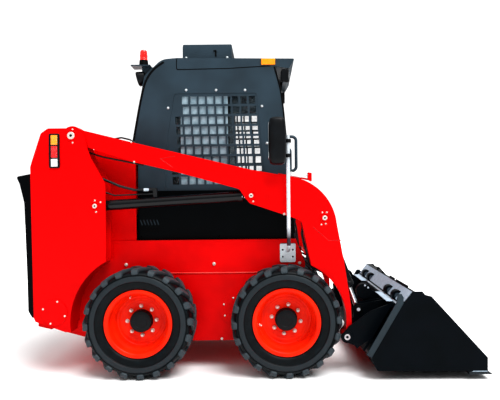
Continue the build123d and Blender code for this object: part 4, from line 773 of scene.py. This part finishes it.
rib = extruded(roundedBox(0.004, 0.036, 0.0015, 3), 0.0158, 0.001)
ribs = [moved(rib, (0.0105 * i, 0, 0)) for i in range(-4, 5)]
addPair("side_marker", stack([extruded(roundedBox(0.101, 0.044, 0.005), 0.014, 0.003)] + ribs), "amber",
        (0.1705, 0.4552, 2.2085))
addPair("roof_catch", stack([extruded(roundedBox(0.01, 0.04, 0.004), 0.006, 0.001),
                             moved(extruded(roundedBox(0.022, 0.009, 0.003), 0.009, 0.001), (-0.006, 0.022, 0))]),
        "dark", (-0.216, 0.38, 2.29))

workLamps = {
    # at, facing, across, width, height, depth and corner of the bezel
    "rear": ((-0.79, 0.395, 2.104), (-0.97, 0, -0.24), (0, -1, 0), 0.1, 0.104, 0.058, 0.04),
    "front": ((0.318, 0.432, 2.111), (1, 0, 0), (0, 1, 0), 0.045, 0.097, 0.056, 0.01),
}
for where, (at, facing, across, wide, tall, deep, corner) in workLamps.items():
    # a bowl that narrows towards the back, its bezel and a crowned lens
    steps = np.array([(0.62, -deep), (0.8, 0.004 - deep), (0.9, -0.62 * deep), (0.97, -0.3 * deep), (1, -0.008), (1, 0),
                      (0.94, 0.003), (0.9, 0.003), (0.88, 0)])
    outline = roundedBox(wide, tall, corner, 8)
    bowl = lofted(outline * steps[:, :1, None], steps[:, 1])
    lens = lathe([(0, -0.001), (0.43, -0.001), (0.43, 0.002), (0.3, 0.0045), (0.15, 0.0056), (0, 0.006)], 40)
    lens = lens[0] * (wide, tall, 1), lens[1]
    for hand, side in sides:
        frameAt = np.array(at) * (1, side, 1), across, np.cross(facing, across)
        addPiece(f"work_lamp_{where}_{hand}", framed(bowl, *frameAt), "black_plastic", "machine",
                 ["work_lamps"] if (where, hand) == ("rear", "right") else [])
        addPiece(f"work_lens_{where}_{hand}", framed(lens, *frameAt), "white")
print("lamps made")


# ---- roof unit: a lid with rounded edges on its box, and slots in the front face

roofUnit = {"x": (-0.462, -0.098), "half": 0.38, "top": 2.344, "lid": 0.018, "lap": 0.004,
            "slotsY": (-0.18, 0.18), "slotsZ": (2.275, 2.295, 2.315), "slotProud": 0.0008}
length, middle = np.diff(roofUnit["x"])[0], np.mean(roofUnit["x"])
lid = extruded(roundedBox(length, 2 * roofUnit["half"], 0.012), roofUnit["lid"] + roofUnit["lap"], roofUnit["lap"])
addPiece("roof_unit_lid", moved(lid, (middle, 0, roofUnit["top"] - roofUnit["lap"])), "cab_black")
slot = extruded(roundedBox(0.24, 0.008, 0.003), 0.002, 0.0008)
slots = [framed(slot, (roofUnit["x"][1] - roofUnit["slotProud"], y, z), (0, 1, 0), (0, 0, 1))
         for y in roofUnit["slotsY"] for z in roofUnit["slotsZ"]]
addPiece("roof_unit_slots", stack(slots), "dark")
print("roof unit made")


# ---- mirrors: rounded housing with a glass that faces back, on two clamps

mirror = {"at": (0.224, 0.765, 1.5965), "glassX": 0.1668, "levels": 25, "ring": 48, "halfX": 0.0585, "halfY": 0.0635,
          "halfZ": 0.1585, "post": (0.296, 0.735), "armEnd": (0.268, 0.75), "clamps": (1.5, 1.6)}


def housingShape():
    # a superellipse in plan whose size swells from the ends to the middle
    level = np.linspace(-1, 1, mirror["levels"])
    size = 0.55 + 0.45 * (1 - abs(level) ** 3.2) ** (1 / 3.2)
    angle = evenAngles(mirror["ring"])
    plan = np.stack([mirror["halfX"] * power(np.cos(angle), 0.62), mirror["halfY"] * power(np.sin(angle), 0.62)], 1)
    z = mirror["halfZ"] * np.sign(level) * (1 - (1 - abs(level)) ** 1.15)
    return lofted(plan * size[:, None, None], z)


housing = housingShape()
glass = extruded(roundedBox(0.088, 0.25, 0.018), 0.003, 0.001)
clamp = lathe([(0, -0.012), (0.021, -0.012), (0.022, -0.009), (0.022, 0.009), (0.021, 0.012), (0, 0.012)], 28)
for hand, side in sides:
    x, y, z = np.array(mirror["at"]) * (1, side, 1)
    addPiece(f"mirror_housing_{hand}", moved(housing, (x, y, z)), "black_plastic",
             replaces=[f"mirror_head_{hand}"], smooth=50.0)
    addPiece(f"mirror_glass_{hand}", framed(glass, (mirror["glassX"], y, z), (0, -1, 0), (0, 0, 1)), "mirror")
    (postX, postY), (endX, endY) = mirror["post"], mirror["armEnd"]
    clamps = [placed(clamp, (postX, side * postY, z)) for z in mirror["clamps"]]
    arms = [swept([(postX, side * postY, z), (endX, side * endY, z)], 0.009, 12, (0, 0, 1)) for z in mirror["clamps"]]
    addPiece(f"mirror_clamp_{hand}", stack(clamps + arms), "black_plastic")
print("mirrors made")


# ---- bucket: pale plate of painted sky reflection on the sloping flange, strips with a painted highlight, half-round drums, pads of painted sky reflection, back corner, pin ends, cutter lines with a painted highlight

bucket = {
    "bend": (1.041, 0.503), "top": (1.108, 0.586), "half": 0.823, "drums": (0.35, 0.59),
    "drum": [(0, -0.03), (0.026, -0.03), (0.027, -0.036), (0.036, -0.036), (0.0375, -0.033), (0.0375, 0.033),
             (0.036, 0.036), (0.027, 0.036), (0.026, 0.03), (0, 0.03)],
    "drumFace": [(0, -0.0312), (0.02, -0.0312), (0.023, -0.029), (0.023, 0.029), (0.02, 0.0312), (0, 0.0312)],
    # the back corner's edge plate, whose crest differs between the sides
    "crest": {"right": [(1.006, 0.56), (1.016, 0.571), (1.032, 0.571), (1.045, 0.548)],
              "left": [(1.01, 0.534), (1.04, 0.534)]},
    "cutter": [(1.49, 0.0565), (1.592, 0.0565), (1.592, 0.0605), (1.5, 0.0605)],
    # turned ends of the pivot and the tilt rod: look; at x, outwards, z; segments; radius and height
    "turned": {
        "pivot_boss": ("bucket_black", (0.688, 0.7118, 0.262), 40,
                       [(0, 0), (0.042, 0), (0.042, 0.004), (0.04, 0.006), (0, 0.006)]),
        "pivot_ring": ("ring", (0.688, 0.7118, 0.262), 40,
                       [(0.0095, 0.0055), (0.0205, 0.0055), (0.0205, 0.0085), (0.019, 0.0095), (0.011, 0.0095),
                        (0.0095, 0.0085), (0.0095, 0.0055)]),
        "tilt_collar": ("dark", (0.788, 0.5818, 0.424), 36,
                        [(0, 0), (0.03, 0), (0.03, 0.0035), (0.028, 0.0045), (0, 0.0045)]),
        "tilt_knob": ("bright", (0.788, 0.5818, 0.424), 28,
                      [(0, 0.004), (0.0125, 0.004), (0.0125, 0.0055), (0.0115, 0.0062), (0, 0.0062)]),
    },
}
(bendX, bendZ), half = bucket["bend"], bucket["half"]
run = np.subtract(bucket["top"], bucket["bend"])
slope = np.hypot(*run)
alongX, alongZ = run / slope
# a pale plate over the sloping flange: painted reflection of the sky on the black paint
plate = extruded([(-half, 0), (half, 0), (half, slope - 0.002), (-half, slope - 0.002)], 0.0025, 0.0005)
addPiece("bucket_sky_reflection_plate", framed(plate, (bendX + alongZ * 0.0026 - 0.0052, 0, bendZ + 0.0005), (0, 1, 0),
                                     (alongX, 0, alongZ)), "pale", "attachment")
# strips along the flange's bend, bright as a painted highlight
strip = framed(extruded(roundedBox(0.8, 0.013, 0.003), 0.006, 0.001), (0, 0, 0), (0, 1, 0), (alongX, 0, alongZ))
addTwins("bucket_strip_highlight", strip, "bright", (bendX - 0.02, 0.412, bendZ - 0.0095), "attachment")
# pale pads on top of the coupler: painted reflection of the sky
pad = extruded(roundedBox(0.046, 0.39, 0.004), 0.006, 0.0012)
addTwins("coupler_pad", pad, "pale", (0.984, 0.5, 0.4985), "attachment")
for hand, side in sides:
    for name, look, profile, segments in (("drums", "bucket_black", bucket["drum"], 40),
                                          ("faces", "grey", bucket["drumFace"], 32)):
        pair = [placed(lathe(profile, segments), (1.056, side * y, 0.524), (0, 1, 0)) for y in bucket["drums"]]
        addPiece(f"lock_{name}_{hand}", stack(pair), look, "attachment")
    rib = extruded([(0.796, 0.172), (1, 0.518), *bucket["crest"][hand], (1.045, 0.508), (0.832, 0.152)], 0.0135, 0.002)
    addPiece(f"bucket_rib_{hand}", onSide(rib, 0, 0.8248, 0, side), "rib", "attachment")
for name, (look, at, segments, profile) in bucket["turned"].items():
    addPair(name, lathe(profile, segments), look, at, "attachment")
lever = domeHead(0.015, 0.006)
addPair("lever_bolts", stack([lever, moved(lever, (0.023, -0.016, 0))]), "bright", (0.857, 0.4598, 0.573), "attachment")
# thin pale lines low at the front of the side plates: painted highlight
addPair("cutter_line", extruded(bucket["cutter"], 0.002, 0.0005), "pale", (0, 0.8398, 0), "attachment")
print("bucket dressed")


# ---- cab: sliding pane painted pale for the light through the glass, seals along the edges, groove under the roof, wiper, a dark vent backing of painted shade, and the chassis' folds with a painted highlight

cab = {
    "pane": [(-0.474, 1.292), (-0.123, 1.292), (-0.123, 1.978), (-0.474, 1.978)],
    "rail": [(-0.127, 1.29), (-0.117, 1.29), (-0.117, 1.98), (-0.127, 1.98)],
    # radius, how far outwards, and corners at x, z
    "groove": (0.0032, 0.4545, [(-0.496, 2.236), (-0.497, 2.17), (-0.49, 2.159), (-0.119, 2.164), (0.216, 2.181)]),
    "frontSeal": (0.006, 0.4545, [(0.216, 2.172), (0.264, 1.971), (0.293, 1.686), (0.317, 1.376), (0.349, 0.96)]),
    "rearSeal": (0.01, 0.45, [(-0.59, 2.215), (-0.665, 2.16), (-0.722, 2.075), (-0.758, 1.945), (-0.8, 1.725),
                              (-0.818, 1.625)]),
    # rolled edges: x from and to, outwards, z
    "fold": (-0.7, 0.395, 0.5235, 0.6865), "sill": (-0.78, 0.352, 0.5205, 0.9165), "edgeRadius": 0.004,
    "wiperArm": [(0.262, -0.06, 1.93), (0.276, -0.13, 1.79), (0.291, -0.2, 1.64)],
    "wiperBlade": [(0.258, -0.06, 1.925), (0.301, -0.205, 1.5)],
}
# the pale pane behind the side screen: painted light for the bright view through the glass
addPair("sliding_pane", extruded(cab["pane"], 0.004, 0.0008), "pane", (0, 0.436, 0))
addPair("pane_rail", extruded(cab["rail"], 0.006, 0.001), "dark", (0, 0.4355, 0))
# a black plate behind the side panel's vents: painted shade where the slots look into the cab
addPair("vent_shade_backing", extruded(roundedBox(0.2, 0.17, 0.002), 0.002, 0.0004), "dark", (-0.69, 0.4556, 0.935))
for hand, side in sides:
    for name in ("groove", "frontSeal", "rearSeal"):
        radius, out, corners = cab[name]
        corners = np.array([(x, side * out, z) for x, z in corners])
        if name == "groove":
            path = np.concatenate([np.linspace(a, b, 10, endpoint=False) for a, b in zip(corners, corners[1:])])
        else:
            path = smoothPath(corners, 8)
        addPiece(f"cab_{name}_{hand}", swept(path, radius, 8), "dark", smooth=60.0)
    # tubes along the fold and the sill, in lighter red as a painted highlight
    for name in ("fold", "sill"):
        start, stop, out, z = cab[name]
        path = np.linspace((start, side * out, z), (stop, side * out, z), 20)
        addPiece(f"{name}_edge_{hand}", swept(path, cab["edgeRadius"], 8), "edge", smooth=60.0)
wiper = [swept(smoothPath(cab["wiperArm"], 8), 0.006, 8, (1, 0, 0)),
         swept(smoothPath(cab["wiperBlade"], 10), 0.007, 8, (1, 0, 0))]
addPiece("wiper", stack(wiper), "dark", "cab_door", smooth=60.0)
print("cab dressed")


# ---- cylinders: gland nuts, hose unions and grease points; boots of the control levers

glands = {
    # foot and head of the cylinder at x, z; outwards; radius of the nut; from its mouth to the head
    "lift": ((-1.023, 1.172), (0.042, 1.233), 0.64, 0.036, 0.082),
    "tilt": ((0.546, 1.075), (0.788, 0.424), 0.54, 0.038, 0.195),
}
fittings = {"union": (-0.7, 0.655, 1.2815), "grease": (-0.02, 0.6745, 1.227), "boot": (-0.02, 0.355, 0.3305),
            "pleats": 12}
hexagon = lathe([(0, 0), (0.011, 0), (0.011, 0.018), (0, 0.018)], 6)
sleeve = lathe([(0, 0.017), (0.0095, 0.017), (0.0095, 0.034), (0, 0.034)], 16)
pleats = [(0.044 - 0.0022 * i - 0.007 * (i % 2), 0.006 + 0.006 * i) for i in range(fittings["pleats"])]
boot = lathe([(0, 0), (0.046, 0), *pleats, (0, 0.074)], 32)
for hand, side in sides:
    for name, (foot, head, out, r, rodOut) in glands.items():
        run = np.subtract(head, foot)
        reach = np.hypot(*run)
        ux, uz = run / reach
        nut = lathe([(0.0185, -0.01), (r + 0.0015, -0.01), (r + 0.003, -0.007), (r + 0.003, 0.02), (r, 0.024),
                     (0.03, 0.026), (0.028, 0.033), (0.0195, 0.034), (0.0185, -0.01)], 40)
        mouth = (foot[0] + ux * (reach - rodOut), side * out, foot[1] + uz * (reach - rodOut))
        addPiece(f"{name}_gland_{hand}", placed(nut, mouth, (ux, 0, uz)), "cylinder_black", f"{name}_barrels")
union = placed(stack([hexagon, sleeve]), (0, 0, 0), (1, 0, 0))
addTwins("hose_union", union, "bright", fittings["union"], "lift_barrels")
addTwins("lever_boot", placed(boot, (0, 0, 0)), "dark", fittings["boot"], smooth=60.0)
addPair("gland_grease", domeHead(0.012, 0.005), "bright", fittings["grease"], "lift_barrels")
print("cylinders dressed")


# ---- engine door: two hinge knuckles on the left and a paddle latch on the right

engineDoor = {"hinge": (-1.478, 0.55), "knuckles": (0.55, 1.12), "latch": (-1.553, -0.5, 0.9)}
knuckle = lathe([(0, 0), (0.013, 0), (0.014, 0.002), (0.014, 0.036), (0.013, 0.038), (0.013, 0.04), (0.014, 0.042),
                 (0.014, 0.078), (0.013, 0.08), (0, 0.08)], 24)
addPiece("door_knuckles", stack([placed(knuckle, (*engineDoor["hinge"], z)) for z in engineDoor["knuckles"]]), "dark",
         "engine_door")
paddle = stack([extruded(roundedBox(0.045, 0.11, 0.012), 0.01, 0.003),
                extruded(roundedBox(0.026, 0.07, 0.01), 0.018, 0.004)])
addPiece("door_latch", framed(paddle, engineDoor["latch"], (0, 1, 0), (0, 0, -1)), "dark", "engine_door")
print("engine door dressed")


# ---- seat: two crowned cushions with side bolsters, swollen by a cloth run, on a black shell

seat = {
    # the cloth run: pressure, farthest that a point may move, size of the grid, frames
    "pressure": 4.0, "cap": 0.012, "voxel": 0.006, "frames": 20,
    # the cushions' grid; the channels' width and depth, the bolsters' height
    "grid": (72, 30), "channel": 0.008, "bolster": 0.016,
    # at, tilt in radians, length, width and height
    "cushions": {"base": ((-0.405, 0, 0.905), 0.0, (0.44, 0.44, 0.13)),
                 "back": ((-0.61, 0, 1.215), 1.36, (0.5, 0.43, 0.11))},
    # shell pieces: length, width, corner; depth; at; direction of the length
    "shell": {"pan": ((0.43, 0.4, 0.03), 0.03, (-0.405, 0, 0.806), (1, 0, 0)),
              "back_shell": ((0.5, 0.42, 0.05), 0.02, (-0.668, 0, 1.205), (0.2, 0, 0.98))},
}


def cushionShape(length, width, height):
    # a superellipse in plan and section: sides pull in between the corners, two bolsters swell along the sides,
    # and three sewn channels cross the middle
    rows, columns = seat["grid"]
    u, v = np.meshgrid(evenAngles(rows), np.linspace(-np.pi / 2, np.pi / 2, columns),
                       indexing="ij")
    x = length / 2 * power(np.cos(u), 0.35) * power(np.cos(v), 0.4)
    y = width / 2 * power(np.sin(u), 0.35) * power(np.cos(v), 0.4)
    z = height / 2 * power(np.sin(v), 0.55)
    top = np.clip(z / (height / 2), 0, 1)
    bolster = np.exp(-((abs(y) - 0.39 * width) / (0.09 * width)) ** 2)
    channels = sum(np.exp(-((x - at * length) / seat["channel"]) ** 2) for at in (-0.22, 0, 0.22))
    z = z + top * (seat["bolster"] * bolster - seat["channel"] * channels * (1 - bolster))
    points = np.stack([x, y, z], -1).reshape(-1, 3)
    return points, gridFaces(rows, columns, wrapRows=True)


for name, (at, tilt, size) in seat["cushions"].items():
    c, s = np.cos(tilt), np.sin(tilt)
    shape = framed(cushionShape(*size), at, (c, 0, s), (0, 1, 0))
    pad = addPiece(f"seat_{name}", shape, "seat_vinyl", "machine", ["seat"] if name == "base" else [], 80.0)
    pad.data.remesh_voxel_size = seat["voxel"]
    bpy.context.view_layer.objects.active = pad
    bpy.ops.object.voxel_remesh()
    start = np.empty(len(pad.data.vertices) * 3)
    pad.data.vertices.foreach_get("co", start)
    cloth = pad.modifiers.new("swell", "CLOTH")
    cloth.settings.use_pressure = True
    cloth.settings.uniform_pressure_force = seat["pressure"]
    cloth.settings.effector_weights.gravity = 0.0
    for step in range(seat["frames"]):
        scene.frame_set(step + 1)
    evaluated = pad.evaluated_get(bpy.context.evaluated_depsgraph_get())
    swollen = np.empty(len(start))
    evaluated.data.vertices.foreach_get("co", swollen)
    move = (swollen - start).reshape(-1, 3)
    far = np.linalg.norm(move, axis=1, keepdims=True)
    move *= np.minimum(1.0, seat["cap"] / np.maximum(far, 1e-9))
    pad.modifiers.remove(cloth)
    pad.data.vertices.foreach_set("co", start + move.ravel())
    pad.data.polygons.foreach_set("use_smooth", np.ones(len(pad.data.polygons), bool))
    scene.frame_set(1)
for name, (outline, depth, at, along) in seat["shell"].items():
    shell = framed(extruded(roundedBox(*outline), depth, 0.006), at, along, (0, 1, 0))
    addPiece(f"seat_{name}", shell, "black_plastic")
print("seat made")
